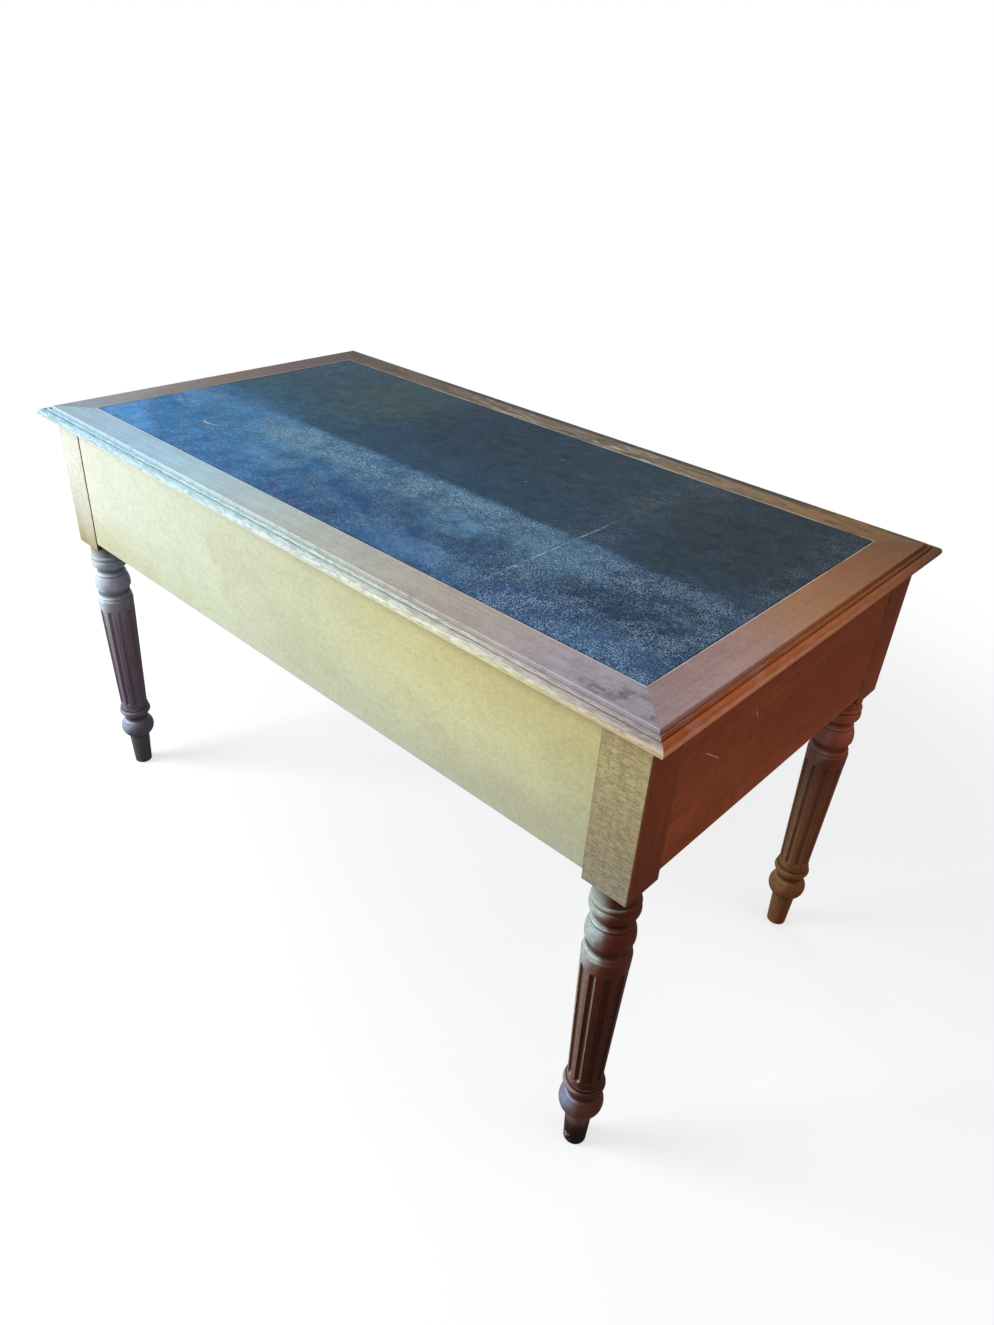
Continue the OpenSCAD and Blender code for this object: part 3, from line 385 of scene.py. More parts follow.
def turned_part(coat, name, seed, turned):
    """The column below the post, where turned is 1: its colour and its height. It is painted lighter in two
    steps as it turns to the window, a painted highlight, and painted darker on its other side as shaded. A
    spot of a flute is sunk by as much as its radius is less than the shaft's there. Wax and painted shade
    fill flutes and grooves, and painted highlights lie on the brims of the flutes and beside the wide
    grooves."""
    reach, strength, dark_side, in_flutes = leg_shares[name]
    low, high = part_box(name)
    middle = (low[0] + high[0]) / 2, (low[1] + high[1]) / 2
    radius = coat.from_line(middle)
    round_x = coat.reckon("DIVIDE", coat.plus(coat.x, -middle[0]), radius)
    tone, highlight = coat.fade(coat.z, *leg_runs[name]), coat.fade(coat.z, *leg_highlights[name])
    colour, height = oak(coat, "Z", seed, coat.around(tone, 0.62, 1.5), 0.25, 0.6)

    # Painted highlight: how far a spot faces the window and upwards, broken up by noise below
    window = coat.plus(coat.times(coat.facing_x, 0.62), coat.times(coat.facing_y, 0.42), reach,
                       coat.times(coat.facing_z, 0.5), coat.rise(coat.z, *to_upper_beads, 0.12))
    highlight_breakup = coat.plus(coat.rise(coat.noise((110.0, 110.0, 160.0), 5.0, 0.8), 0.38, 0.62, 0.45), 0.55)
    if name == "leg_back_right":
        highlight_breakup = coat.times(highlight_breakup, coat.less(1.0, coat.rise(coat.facing_x, 0.45, 0.85, 0.75)))
    if name == "leg_back_left":
        beads = coat.most(coat.rise(coat.z, *to_upper_beads), coat.rise(coat.z, *to_lower_beads))
        highlight_breakup = coat.times(highlight_breakup, coat.most(beads, coat.rise(round_x, -0.6, -0.2)))
    half_highlight = coat.blend(0.5, coat.shade(highlight, 0.52), coat.shade(tone, 1.25))
    colour = coat.lay(colour, half_highlight, coat.rise(window, 0.12, 0.45, strength * 0.8), highlight_breakup)
    colour = coat.lay(colour, highlight, coat.rise(window, 0.40, 0.74, strength), highlight_breakup)
    # Painted shade on the side turned away from the window
    colour = coat.mottle(colour, round_x, (-0.2, -0.5, dark_side, 0.52), of=tone)

    slope = (shaft_high[1] - shaft_low[1]) / (shaft_high[0] - shaft_low[0])
    shaft = coat.plus(coat.times(coat.z, slope), shaft_low[1] - slope * shaft_low[0])
    below = coat.less(shaft, radius)
    sunk = coat.rise(below, 0.0006, 0.0034)
    on_shaft = coat.times(coat.rise(coat.z, 0.146, 0.150), coat.rise(coat.z, 0.380, 0.375))
    # Wax and painted shade darken the flutes, most on the side towards the window, and every groove
    wax_and_shade = coat.times(sunk, on_shaft, coat.rise(round_x, -0.85, -0.1, in_flutes))
    # Painted highlights on the edges beside the wide grooves, on the side towards the window
    rim_highlights = 0.0
    for groove, half in grooves.items():
        off = coat.away(coat.z, groove)
        wax_and_shade = coat.most(wax_and_shade, coat.rise(off, half, half * 0.2, 0.85))
        if half > wide_groove:
            rim_highlights = coat.most(rim_highlights, coat.rise(coat.away(off, half + 0.0014), 0.0016, 0.0004))
    rim_highlights = coat.times(rim_highlights, coat.rise(round_x, -0.95, -0.2, 0.7))
    colour = coat.lay(colour, coat.shade(colour, 1.65), rim_highlights)
    colour = coat.lay(colour, coat.shade(tone, 0.3), wax_and_shade, turned, 0.9)
    colour = coat.mottle(colour, coat.noise(38.0, 3.0, 0.6), (0.52, 0.75, 0.25, 1.5), of=tone)
    # Painted highlights on the brims of the flutes, on the side towards the window
    brim_highlight = coat.times(coat.rise(coat.away(below, 0.0002), 0.0005, 0.0001), on_shaft,
                      coat.rise(sunk, 0.0, 0.05), coat.rise(round_x, -0.85, -0.2, 0.45))
    colour = coat.lay(colour, coat.shade(tone, 2.0), brim_highlight)

    if name == "leg_back_left":
        chips = coat.rise(coat.noise((160.0, 160.0, 320.0), 3.0, 0.7), 0.54, 0.58)
        at_foot = coat.times(coat.rise(coat.away(coat.z, 0.014), 0.008, 0.003), coat.rise(window, 0.25, 0.5))
        colour = coat.lay(colour, tint(226, 218, 214), chips, at_foot)
    if name in bleach_and_light:
        # Painted highlight where the neck turns to the window, and painted shade right under the post
        neck_highlight = coat.times(coat.rise(coat.z, 0.462, 0.490), coat.rise(window, 0.25, 0.60, 0.6), highlight_breakup)
        colour = coat.lay(colour, tint(178, 190, 174), neck_highlight)
        colour = coat.mottle(colour, coat.z, (0.480, 0.506, 0.6, 0.35), of=tone)
    return colour, height


def post_part(coat, name, seed, colour, post):
    """Paints the square post, where post is 1, over the colour below it: stained oak, and on the back legs a
    +Y face bleached by sun and painted paler where the window light falls. Its ripple is a sine of a swaying
    height on top of short broken clouds."""
    red, _ = oak(coat, "Z", seed + 7, stain, 0.2, 0.5)
    if name in post_shades:
        stops = [(z, k, k ** 1.2, k ** 1.3, 1.0) for z, k in post_shades[name]]
        red = coat.blend(1.0, red, coat.fade(coat.z, *stops), "MULTIPLY")
    colour = coat.lay(colour, red, post)
    if name in bleach_and_light:
        tone = coat.fade(coat.z, *bleach_and_light[name])
        pale, _ = oak(coat, "Z", seed + 20, coat.around(tone, 0.76, 1.15), 0.3, 0.6)
        bend = coat.plus(coat.noise(70.0, 3.0, 0.6, shift=(seed, 0, 0)), -0.5)
        lines = coat.reckon("SINE", coat.times(coat.plus(coat.z, coat.times(bend, 0.03)), 1500.0))
        broken = coat.noise((80.0, 80.0, 340.0), 4.0, 0.66, 0.8, (seed, 0, 0))
        ripple = coat.plus(coat.times(lines, 0.06), broken)
        deep = 0.52 if name == "leg_back_left" else 0.182
        pale = coat.mottle(pale, ripple, (0.51, 0.57, deep, 1.36), (0.49, 0.43, deep, 0.58), of=tone)
        streaks = coat.noise((330.0, 330.0, 7.0), 4.0, 0.7, shift=(seed, 0.2, 0))
        pale = coat.mottle(pale, streaks, (0.50, 0.60, 0.25, 0.72), of=tone)
        # Painted shadow under the top, across the head of the pale face
        pale = coat.mottle(pale, coat.z, (0.705, 0.738, 0.35, 0.45), of=tone)
        colour = coat.lay(colour, pale, coat.rise(coat.facing_y, 0.4, 0.8), post)
    if name == "leg_back_right":
        # Painted shade on the inner face of the +X post near its foot
        inside = coat.times(coat.rise(coat.facing_x, -0.3, -0.7), coat.rise(coat.z, 0.56, 0.53), post)
        colour = coat.lay(colour, tint(66, 60, 62), inside)
    return coat.lay(colour, bare_edge, worn_edges(coat, name), post, 0.4)


for seed, name in enumerate(leg_runs, 1):
    coat = Coat(name + "_oak", 0.42)
    turned = coat.rise(coat.z, post_foot + 0.0005, post_foot - 0.0005)
    colour, height = turned_part(coat, name, seed, turned)
    colour = post_part(coat, name, seed, colour, coat.less(1.0, turned))
    dress(name, coat.close(colour, height, 0.0004, 0.06, 0.6))


# Back panel
# One wide board closes the desk's long side, with painted shade under the top and a thin dark seam at each
# post. It is straw and cream, bleached by sun and painted paler with the window light, palest towards +X
# where the light falls, warmer high up towards -X, greyer below.
post_left, post_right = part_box("leg_back_left")[1][0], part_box("leg_back_right")[0][0]
panel_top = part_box("back_panel")[1][2]
coat = Coat("back_oak", 0.5)
# The tone holds painted window light, palest towards +X
tone = coat.fade(coat.x, (-0.565, 200, 198, 156), (-0.45, 219, 217, 170), (-0.25, 221, 222, 174),
                 (-0.12, 209, 211, 172), (0.0, 212, 214, 180), (0.28, 216, 224, 200), (0.48, 218, 226, 206),
                 (0.565, 232, 234, 218))
warm = coat.times(coat.rise(coat.x, -0.05, -0.42), coat.rise(coat.z, 0.60, 0.72), 0.75)
tone = coat.lay(tone, tint(215, 202, 140), warm)
low = coat.fade(coat.x, (-0.56, 176, 175, 150), (0.0, 209, 215, 190), (0.30, 207, 214, 184),
                (0.56, 190, 186, 142))
tone = coat.lay(tone, low, coat.rise(coat.z, 0.63, 0.53, 0.8))
colour, height = oak(coat, "X", 31, coat.around(tone, 0.93, 1.04), 0.5, 0.12)
clouds = coat.noise((9.0, 1.0, 14.0), 4.0, 0.6, 0.8, (3.1, 0, 0.4))
colour = coat.mottle(colour, clouds, (0.46, 0.66, 0.45, 0.84), (0.46, 0.28, 0.45, 1.12), of=tone)
specks = coat.noise((150.0, 1.0, 190.0), 5.0, 0.8, 0.5, (0.3, 0, 5.1))
colour = coat.mottle(colour, specks, (0.50, 0.62, 0.52, 0.80), (0.50, 0.38, 0.45, 1.12), of=tone)
stains = coat.noise((38.0, 1.0, 60.0), 3.0, 0.7, shift=(1.7, 0, 2.2))
colour = coat.mottle(colour, stains, (0.62, 0.78, 0.45, 0.66), of=tone)
# Painted shade under the top, strongest towards -X
shade_under_top = coat.rise(coat.z, panel_top - 0.034, panel_top - 0.004, 0.82)
shade_under_top = coat.times(shade_under_top, coat.rise(coat.x, 0.3, -0.4))
colour = coat.lay(colour, coat.shade(tone, 0.54), shade_under_top)
edge_line = coat.rise(coat.z, panel_top - 0.009, panel_top - 0.003, 0.5)
edge_line = coat.times(edge_line, coat.rise(coat.x, 0.3, -0.05))
colour = coat.lay(colour, tint(196, 150, 84), edge_line)
seams = coat.most(coat.rise(coat.x, post_left + 0.0015, post_left + 0.0002),
                  coat.rise(coat.x, post_right - 0.0028, post_right - 0.0021))
colour = coat.lay(colour, tint(92, 72, 44), seams, 0.75)
dress("back_panel", coat.close(colour, height, 0.0002))


# End panels
# One board at each end, stained red-brown like the posts, with thin dark joints beside them. The panel
# at the camera's end has two fine pale scratches.
def stained(name, along, seed, flecks=0.2, reach=0.003, wear=0.35):
    """Red-brown oak with edges rubbed to bare wood: the coat, its colour and its height."""
    coat = Coat(name + "_oak", 0.5)
    colour, height = oak(coat, along, seed, stain, flecks, 0.5)
    clouds = coat.noise((7.0, 7.0, 9.0), 3.0, 0.6, 0.5, (seed * 0.9, 0.3, 0.2))
    colour = coat.lay(colour, stain[0], coat.rise(clouds, 0.45, 0.7, 0.35))
    colour = coat.lay(colour, bare_edge, worn_edges(coat, name, reach), wear)
    return coat, colour, height


post_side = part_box("leg_back_left")[0][1]
panel_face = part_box("end_panel_left")[0][0]
panel_scratches = (((panel_face, 0.2095, 0.665), (panel_face, 0.1745, 0.640), 0.0007),
                   ((panel_face, 0.0995, 0.670), (panel_face, 0.0945, 0.660), 0.0008))
for name, seed in (("end_panel_left", 41), ("end_panel_right", 42)):
    coat, colour, height = stained(name, "Y", seed, 0.25, 0.002, 0.2)
    far_top = coat.times(coat.rise(coat.y, 0.15, -0.26), coat.rise(coat.z, 0.60, 0.70), 0.8)
    colour = coat.lay(colour, coat.shade(colour, 0.70), far_top)
    colour = coat.mottle(colour, coat.z, (0.62, 0.53, 0.35, 1.30))
    smudges = coat.noise((50.0, 50.0, 60.0), 5.0, 0.75, shift=(0.4, 0.2, 0.9))
    colour = coat.mottle(colour, smudges, (0.50, 0.64, 0.40, 0.72), (0.50, 0.36, 0.40, 1.30))
    joint = coat.rise(coat.away(coat.y), post_side - 0.0017, post_side - 0.0002, 0.85)
    colour = coat.lay(colour, tint(40, 14, 9), joint)
    if name == "end_panel_left":
        for start, end, width in panel_scratches:
            colour = coat.lay(colour, tint(226, 190, 160), coat.scratch(start, end, width), 0.8)
    dress(name, coat.close(colour, height, 0.00025, 0.06))


# Rails and dividers of the front
# The front carries the same stain: a rail above the drawers, three below them and two dividers.
front_woods = {"front_top_rail": "X", "lower_rail_left": "X", "lower_rail_centre": "X",
               "lower_rail_right": "X", "divider_left": "Z", "divider_right": "Z"}
for seed, (name, along) in enumerate(front_woods.items(), 51):
    coat, colour, height = stained(name, along, seed)
    dress(name, coat.close(colour, height))


# Insides
# Partitions, runners, guides, kickers, stops, glue blocks and the ground under the leather are oak as it
# came from the plane, a little greyed by dust. The runners are polished dark where the drawers slide.
bare_oak = tint(150, 112, 72), tint(184, 146, 102), tint(206, 174, 130)
dust, polish = tint(142, 124, 100), tint(104, 74, 44)


def raw(name, along, seed):
    """Bare oak, greyed in clouds: the coat, its colour and its height."""
    coat = Coat(name + "_oak", 0.6)
    colour, height = oak(coat, along, seed, bare_oak, 0.35, 0.5)
    clouds = coat.noise(6.0, 3.0, 0.6, shift=(seed * 0.7, 0.4, 0.1))
    return coat, coat.lay(colour, dust, coat.rise(clouds, 0.42, 0.7, 0.4)), height


inner_woods = {"partition_left": "Y", "partition_right": "Y", "guide_left": "Y", "guide_right": "Y",
               "drawer_stops": "X", "glue_blocks": "X", "ground_panel": "X"}
for side in ("left", "right"):
    for kind in ("runner", "kicker"):
        for place in (f"{side}_outer", f"{side}_inner", f"centre_{side}"):
            inner_woods[f"{kind}_{place}"] = "Y"
for seed, (name, along) in enumerate(inner_woods.items(), 61):
    coat, colour, height = raw(name, along, seed)
    if name.startswith("runner"):
        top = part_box(name)[1][2]
        colour = coat.lay(colour, polish, coat.rise(coat.z, top - 0.0012, top - 0.0002, 0.6))
    dress(name, coat.close(colour, height, shine=0.3))


# Top frame
# Four rails, mitred at the corners, each with its grain along it. The long rail towards the camera is
# paled by sun and painted silver and blue with the window light and its reflection where the light comes
# in, and the others are browner, the front and +X rails darkening with painted shade towards their far
# corner. Dirt and painted shade lie in the two quirks of the moulding, and its crests and the lip round
# the leather are rubbed pale and painted with highlights.

# Half the length and half the depth of the opening for the leather, and of the flat that frames it
leather_x, leather_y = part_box("top_rail_right")[0][0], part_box("top_rail_back")[0][1]
flat_width = 0.054
flat_x, flat_y = leather_x + flat_width, leather_y + flat_width
top_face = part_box("top_rail_back")[1][2]
# How far the quirks and the crests lie outside the flat
quirks, crests = (0.0011, 0.0057), (-0.0006, 0.0036, 0.0076)
# These runs hold painted light: paler and bluer where the window light falls, darker at the far corner
# For each rail: its run, its seed, and the colours along it of its flat, its nose and its bead
rail_tones = {
    "top_rail_back": (
        "X", 81,
        ((-0.64, 152, 142, 150), (-0.5, 172, 164, 175), (-0.38, 166, 149, 139), (-0.15, 186, 185, 172),
         (0.1, 177, 196, 197), (0.35, 150, 187, 212), (0.64, 156, 178, 188)),
        ((-0.62, 205, 186, 155), (-0.45, 227, 219, 174), (-0.3, 234, 235, 203), (0.0, 213, 225, 219),
         (0.3, 196, 219, 221), (0.62, 176, 198, 206)),
        ((-0.62, 164, 153, 150), (-0.45, 195, 188, 180), (-0.3, 198, 200, 188), (0.0, 186, 208, 208),
         (0.3, 168, 204, 212), (0.62, 153, 187, 206))),
    "top_rail_front": (
        "X", 82,
        ((-0.64, 108, 74, 43), (-0.5, 136, 100, 56), (-0.38, 130, 108, 80), (0.0, 98, 88, 74),
         (0.38, 108, 90, 74), (0.64, 52, 48, 44)),
        ((-0.62, 120, 84, 54), (0.62, 84, 66, 52)),
        ((-0.62, 110, 76, 50), (0.62, 76, 60, 48))),
    "top_rail_right": (
        "Y", 83,
        ((-0.34, 66, 56, 54), (-0.15, 98, 79, 78), (0.05, 116, 104, 94), (0.2, 135, 134, 133),
         (0.34, 139, 156, 170)),
        ((-0.33, 84, 68, 60), (0.33, 150, 156, 158)),
        ((-0.33, 76, 62, 56), (0.33, 150, 156, 158))),
    "top_rail_left": (
        "Y", 84,
        ((-0.34, 98, 60, 31), (-0.15, 145, 96, 60), (0.0, 170, 122, 85), (0.12, 164, 132, 123),
         (0.34, 150, 129, 132)),
        ((-0.33, 84, 40, 16), (-0.2, 164, 96, 62), (0.0, 210, 136, 97), (0.24, 224, 145, 107),
         (0.33, 206, 126, 92)),
        ((-0.33, 80, 42, 16), (-0.2, 146, 84, 42), (0.0, 170, 96, 52), (0.24, 172, 94, 52),
         (0.33, 156, 78, 44)))}


def nose_worn_and_lit(coat, colour, bead, down):
    """The back rail's nose: pale straw to white underneath, partly bare wood and partly painted light, with
    dark nicks along it.
    """
    rubbed_and_lit = coat.rise(coat.noise((60.0, 9.0, 9.0), 4.0, 0.7), 0.42, 0.58)
    under = coat.rise(coat.less(down, coat.times(rubbed_and_lit, 0.0008)), 0.0128, 0.0150)
    straw = coat.fade(coat.x, (-0.62, 218, 194, 142), (-0.45, 255, 248, 190), (-0.2, 255, 255, 230),
                      (0.3, 255, 255, 250))
    colour = coat.lay(colour, straw, under, coat.plus(coat.times(rubbed_and_lit, 0.25), 0.75))
    nicks = coat.noise((70.0, 9.0, 420.0), 4.0, 0.75, 0.6, (0.7, 0, 0.4))
    nicks = coat.times(coat.rise(nicks, 0.60, 0.66), coat.rise(down, 0.0100, 0.0120), 0.6)
    return coat.lay(colour, coat.shade(bead, 0.55), nicks)


def bruised_corner(coat, colour, reach):
    """The -X end of the back rail, darkened in patches on its flat."""
    corner = coat.times(coat.rise(coat.x, -0.42, -0.58), coat.rise(coat.y, 0.276, 0.310))
    patches = coat.rise(coat.noise((34.0, 52.0, 1.0), 4.0, 0.7, 0.2, (2.2, 0.4, 0)), 0.46, 0.66)
    return coat.lay(colour, tint(92, 80, 92), patches, corner, coat.rise(reach, 0.0, -0.004, 0.8))


def spotted_flat(coat, colour, reach):
    """The front rail's flat: dark spots, a grazed middle, ochre patches, painted shade along the outer edge
    and a touch of lichen."""
    flat = coat.rise(reach, 0.0015, -0.0005)
    spots = coat.noise((15.0, 72.0, 1.0), 4.0, 0.7, 0.3, (0.6, 0.2, 0))
    colour = coat.lay(colour, tint(50, 39, 30), coat.rise(spots, 0.50, 0.64, 0.68), flat)
    grazed = coat.rise(coat.noise((18.0, 160.0, 1.0), 4.0, 0.75, 0.4, (1.6, 3.2, 0)), 0.52, 0.62, 0.75)
    grazed = coat.times(grazed, coat.rise(coat.away(coat.x, -0.02), 0.36, 0.22), flat)
    colour = coat.lay(colour, tint(186, 180, 160), grazed)
    ochre = coat.rise(coat.noise((30.0, 60.0, 1.0), 3.0, 0.7, 0.6, (2.6, 1.2, 0)), 0.56, 0.70, 0.5)
    colour = coat.lay(colour, tint(150, 116, 66), ochre, flat)
    # Painted shade along the outer edge, where the moulding turns away
    outer = coat.times(coat.rise(reach, -0.019, -0.009, 0.92),
                       coat.rise(coat.away(coat.x, -0.05), 0.50, 0.36))
    colour = coat.lay(colour, tint(44, 36, 28), outer)
    lichen = coat.times(coat.rise(coat.away(coat.x, -0.105), 0.06, 0.01), coat.rise(spots, 0.5, 0.4), 0.5)
    return coat.lay(colour, tint(186, 188, 160), lichen)


def moulding_lines(coat, colour, reach, bead, back_rail):
    """Dirt and painted shade in the quirks, and wear and painted highlights on the crests, both broken along
    the rail.
    """
    broken = coat.rise(coat.noise(45.0, 2.0, 0.5), 0.25, 0.5)
    dirt_and_shade, light, rubbed_and_lit = 0.6, 0.35, coat.shade(bead, 1.6)
    if back_rail:
        dirt_and_shade = coat.plus(coat.rise(coat.x, 0.2, -0.5, 0.22), 0.10)
        light = coat.plus(coat.rise(coat.x, -0.5, 0.2, 0.45), 0.40)
        rubbed_and_lit = coat.blend(0.5, bead, tint(248, 252, 252))
    for quirk in quirks:
        line = coat.times(coat.rise(coat.away(reach, quirk), 0.0010, 0.0003), broken, dirt_and_shade)
        colour = coat.lay(colour, coat.shade(bead, 0.35), line)
    for crest in crests:
        line = coat.times(coat.rise(coat.away(reach, crest), 0.0009, 0.0003), broken, light)
        colour = coat.lay(colour, rubbed_and_lit, line)
    return colour


for name, (along, seed, *runs) in rail_tones.items():
    coat = Coat(name + "_oak", 0.45)
    if along == "X":
        long_way, across, flat_edge, opening = coat.x, coat.away(coat.y), flat_y, leather_y
    else:
        long_way, across, flat_edge, opening = coat.y, coat.away(coat.x), flat_x, leather_x
    reach, down = coat.less(across, flat_edge), coat.less(top_face, coat.z)
    tone, nose, bead = (coat.fade(long_way, *run) for run in runs)
    colour, height = oak(coat, along, seed, coat.around(tone, 0.76, 1.3), 0.25, 0.35)
    clouds = coat.noise(16.0, 6.0, 0.75, 0.8, (seed * 0.3, 0, 0))
    colour = coat.mottle(colour, clouds, (0.48, 0.66, 0.40, 0.74), (0.46, 0.32, 0.40, 1.2), of=tone)
    specks = coat.noise(260.0, 4.0, 0.8)
    colour = coat.mottle(colour, specks, (0.50, 0.60, 0.40, 0.78), (0.50, 0.40, 0.35, 1.18), of=tone)

    on_bead = coat.most(coat.rise(reach, 0.0062, 0.0052), coat.rise(down, 0.0110, 0.0075))
    nose = coat.lay(nose, bead, on_bead)
    edge, _ = oak(coat, along, seed + 9, coat.around(nose, 0.84, 1.06), 0.1, 0.4)
    back_rail = name == "top_rail_back"
    chalk = coat.noise(drawn_out(along, 45.0, 330.0), 5.0, 0.8, 0.8, (seed, 0.3, 0))
    dark_chalk, light_chalk = (0.70, 0.60) if back_rail else (0.35, 0.30)
    edge = coat.mottle(edge, chalk, (0.50, 0.57, dark_chalk, 0.58), (0.50, 0.43, light_chalk, 1.30), of=nose)
    colour = coat.lay(colour, edge, coat.rise(reach, 0.0, 0.0015))
    if back_rail:
        colour = nose_worn_and_lit(coat, colour, bead, down)
    if name == "top_rail_front":
        colour = spotted_flat(coat, colour, reach)
    worn = coat.noise(30.0, 3.0, 0.6, shift=(seed, 0, 0))
    colour = coat.mottle(colour, worn, (0.5, 0.72, 0.25, 1.3), of=tone)
    colour = moulding_lines(coat, colour, reach, bead, back_rail)

    # The lip round the leather, rubbed pale and painted with a highlight
    lip = coat.rise(coat.less(across, opening), 0.0018, 0.0010)
    lip = coat.times(lip, coat.rise(down, 0.0015, 0.0003))
    patchy = coat.rise(coat.noise((14.0, 14.0, 1.0), 3.0, 0.6, shift=(seed, 0, 0)), 0.30, 0.55, 0.5)
    lip_wear_and_highlight = coat.blend(0.55, tone, tint(246, 244, 232))
    colour = coat.lay(colour, lip_wear_and_highlight, lip, coat.plus(patchy, 0.15))
    skew = coat.less(coat.away(coat.x), flat_x - flat_y)
    mitre = coat.rise(coat.away(skew, coat.away(coat.y)), 0.0009, 0.0003, 0.15)
    colour = coat.lay(colour, coat.shade(tone, 0.4), mitre)
    if back_rail:
        colour = bruised_corner(coat, colour, reach)
    dress(name, coat.close(colour, height, 0.00025, 0.08))


# Leather
# Two skins lie in the frame, glued down flat, and meet at a seam near the -X end whose edges stand up a
# little. The rear half is black-blue. The half towards the camera is bluer from a sharp border on, worn
# and painted with a patch of window light and its bluish reflection, with a pale band, paler and darker
# patches, dry grain towards -X and a few scuffs.

grid_step = 0.0035
# How deep the skin lies under its node's top, how high it waves, how far it dips at its border and
# stands up at the seam, and how far in from them
sink, wave, dip, stand = 0.0001, 0.000012, 0.0002, 0.00014
dip_reach, stand_reach = 0.0005, 0.002
# The last grid lines at each border, from the border inwards
border_lines = np.array([0.0, 0.0004, 0.0010, 0.0018, 0.0030])
# Five slow ripples: each has its turns for a metre of x and of y, and its start
ripples = ((31, 12, 0.4), (-17, 43, 2.0), (64, -29, 1.1), (23, 81, 4.2), (8, -21, 3.3))


def skin(name, node, seam_side):
    """A thin closed sheet in the place of a CAD skin. The spacing of its grid is fine at the border and
    even between. The surface lies 0.1 mm under the node's top, waves by up to 0.06 mm in the sum of
    five slow ripples of different direction, dips by 0.2 mm within a millimetre of its border, and
    stands up by 0.14 mm within about two millimetres of the seam. The underside is flat."""
    low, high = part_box(node)

    def lines(start, end):
        """Grid lines from start to end, close together at both ends."""
        inside = np.linspace(start + border_lines[-1], end - border_lines[-1], int((end - start) / grid_step))
        return np.concatenate([start + border_lines[:-1], inside, end - border_lines[:-1][::-1]])

    x, y = np.meshgrid(lines(low[0], high[0]), lines(low[1], high[1]), indexing="ij")
    waves = sum(np.sin(a * x + b * y + c) for a, b, c in ripples)
    border = np.minimum(np.minimum(x - low[0], high[0] - x), np.minimum(y - low[1], high[1] - y))
    seam = np.abs(x - (low[0] if seam_side < 0 else high[0]))
    z = high[2] - sink + wave * waves - dip * np.exp(-border / dip_reach)
    z = z + stand * np.exp(-(seam / stand_reach) ** 2)
    rows, columns = x.shape
    top = np.stack([x, y, z], -1).reshape(-1, 3)
    index = np.arange(rows * columns).reshape(rows, columns)
    quads = np.stack([index[:-1, :-1], index[1:, :-1], index[1:, 1:], index[:-1, 1:]], -1).reshape(-1, 4)
    rim = np.concatenate([index[:-1, 0], index[-1, :-1], index[:0:-1, -1], index[0, :0:-1]])
    foot = top[rim] * np.array([1, 1, 0]) + np.array([0, 0, low[2]])
    base = rows * columns + np.arange(len(rim))
    walls = np.stack([rim, base, np.roll(base, -1), np.roll(rim, -1)], -1)
    mesh = bpy.data.meshes.new(name)
    mesh.from_pydata(np.concatenate([top, foot]).tolist(), [],
                     quads.tolist() + walls.tolist() + [base[::-1].tolist()])
    mesh.polygons.foreach_set("use_smooth", [True] * len(quads) + [False] * (len(walls) + 1))
    piece = bpy.data.objects.new(name, mesh)
    scene.collection.objects.link(piece)
    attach(piece, "carcass")
    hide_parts(node)
    return piece


def crackle(coat, scale, shift=(0, 0, 0)):
    """How far a spot is from the nearest of the cracks between cells."""
    return wire(coat.tree, "ShaderNodeTexVoronoi", {"feature": "DISTANCE_TO_EDGE"},
                Vector=coat.stretch((1, 1, 1), shift), Scale=scale).outputs["Distance"]


leather_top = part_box("leather_main")[1][2]
seam_x = (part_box("leather_end")[1][0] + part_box("leather_main")[0][0]) / 2
coat = Coat("blue_leather", 0.55)
# The borders between worn, painted-lit parts and kept ones wander along a swaying, ragged and fuzzy x and y
wander = coat.plus(coat.noise((5.0, 9.0, 1.0), 4.0, 0.65, 0.6, (0.3, 0.9, 0)), -0.5)
ragged = coat.plus(coat.noise(30.0, 4.0, 0.75), -0.5)
fuzz = coat.plus(coat.noise(260.0, 3.0, 0.75), -0.5)
x = coat.plus(coat.x, coat.times(wander, 0.14))
y = coat.plus(coat.y, coat.times(wander, 0.02), coat.times(ragged, 0.012), coat.times(fuzz, 0.032))
# The rear half, a little bluer towards the middle, and the near half with painted window light and reflection
rear = coat.fade(x, (-0.58, 42, 50, 54), (-0.42, 41, 53, 61), (-0.30, 48, 60, 68), (-0.15, 44, 61, 75),
                 (0.12, 34, 53, 69), (0.30, 44, 68, 80), (0.45, 50, 74, 86), (0.58, 54, 78, 92))
grey_patch = coat.times(coat.rise(coat.away(x, 0.315), 0.13, 0.05), coat.rise(y, 0.04, -0.06), 0.4)
rear = coat.lay(rear, tint(68, 84, 80), grey_patch)
towards_middle = coat.fade(x, (-0.55, 44, 56, 68), (-0.2, 42, 68, 90), (0.25, 36, 72, 94),
                           (0.58, 52, 90, 114))
rear = coat.lay(rear, towards_middle, coat.rise(y, -0.14, 0.03, 0.7))
bluer = coat.fade(x, (-0.58, 44, 60, 84), (-0.42, 36, 56, 84), (-0.25, 42, 72, 104), (-0.05, 38, 76, 114),
                  (0.12, 42, 90, 132), (0.25, 52, 106, 150), (0.42, 46, 106, 154), (0.58, 52, 112, 160))
crisp, soft = coat.rise(y, 0.036, 0.060), coat.rise(y, -0.02, 0.10)
softer = coat.most(coat.rise(x, 0.26, 0.50), coat.rise(x, -0.36, -0.52, 0.7))
near = coat.plus(crisp, coat.times(softer, coat.less(soft, crisp)))
colour = coat.blend(near, rear, bluer)
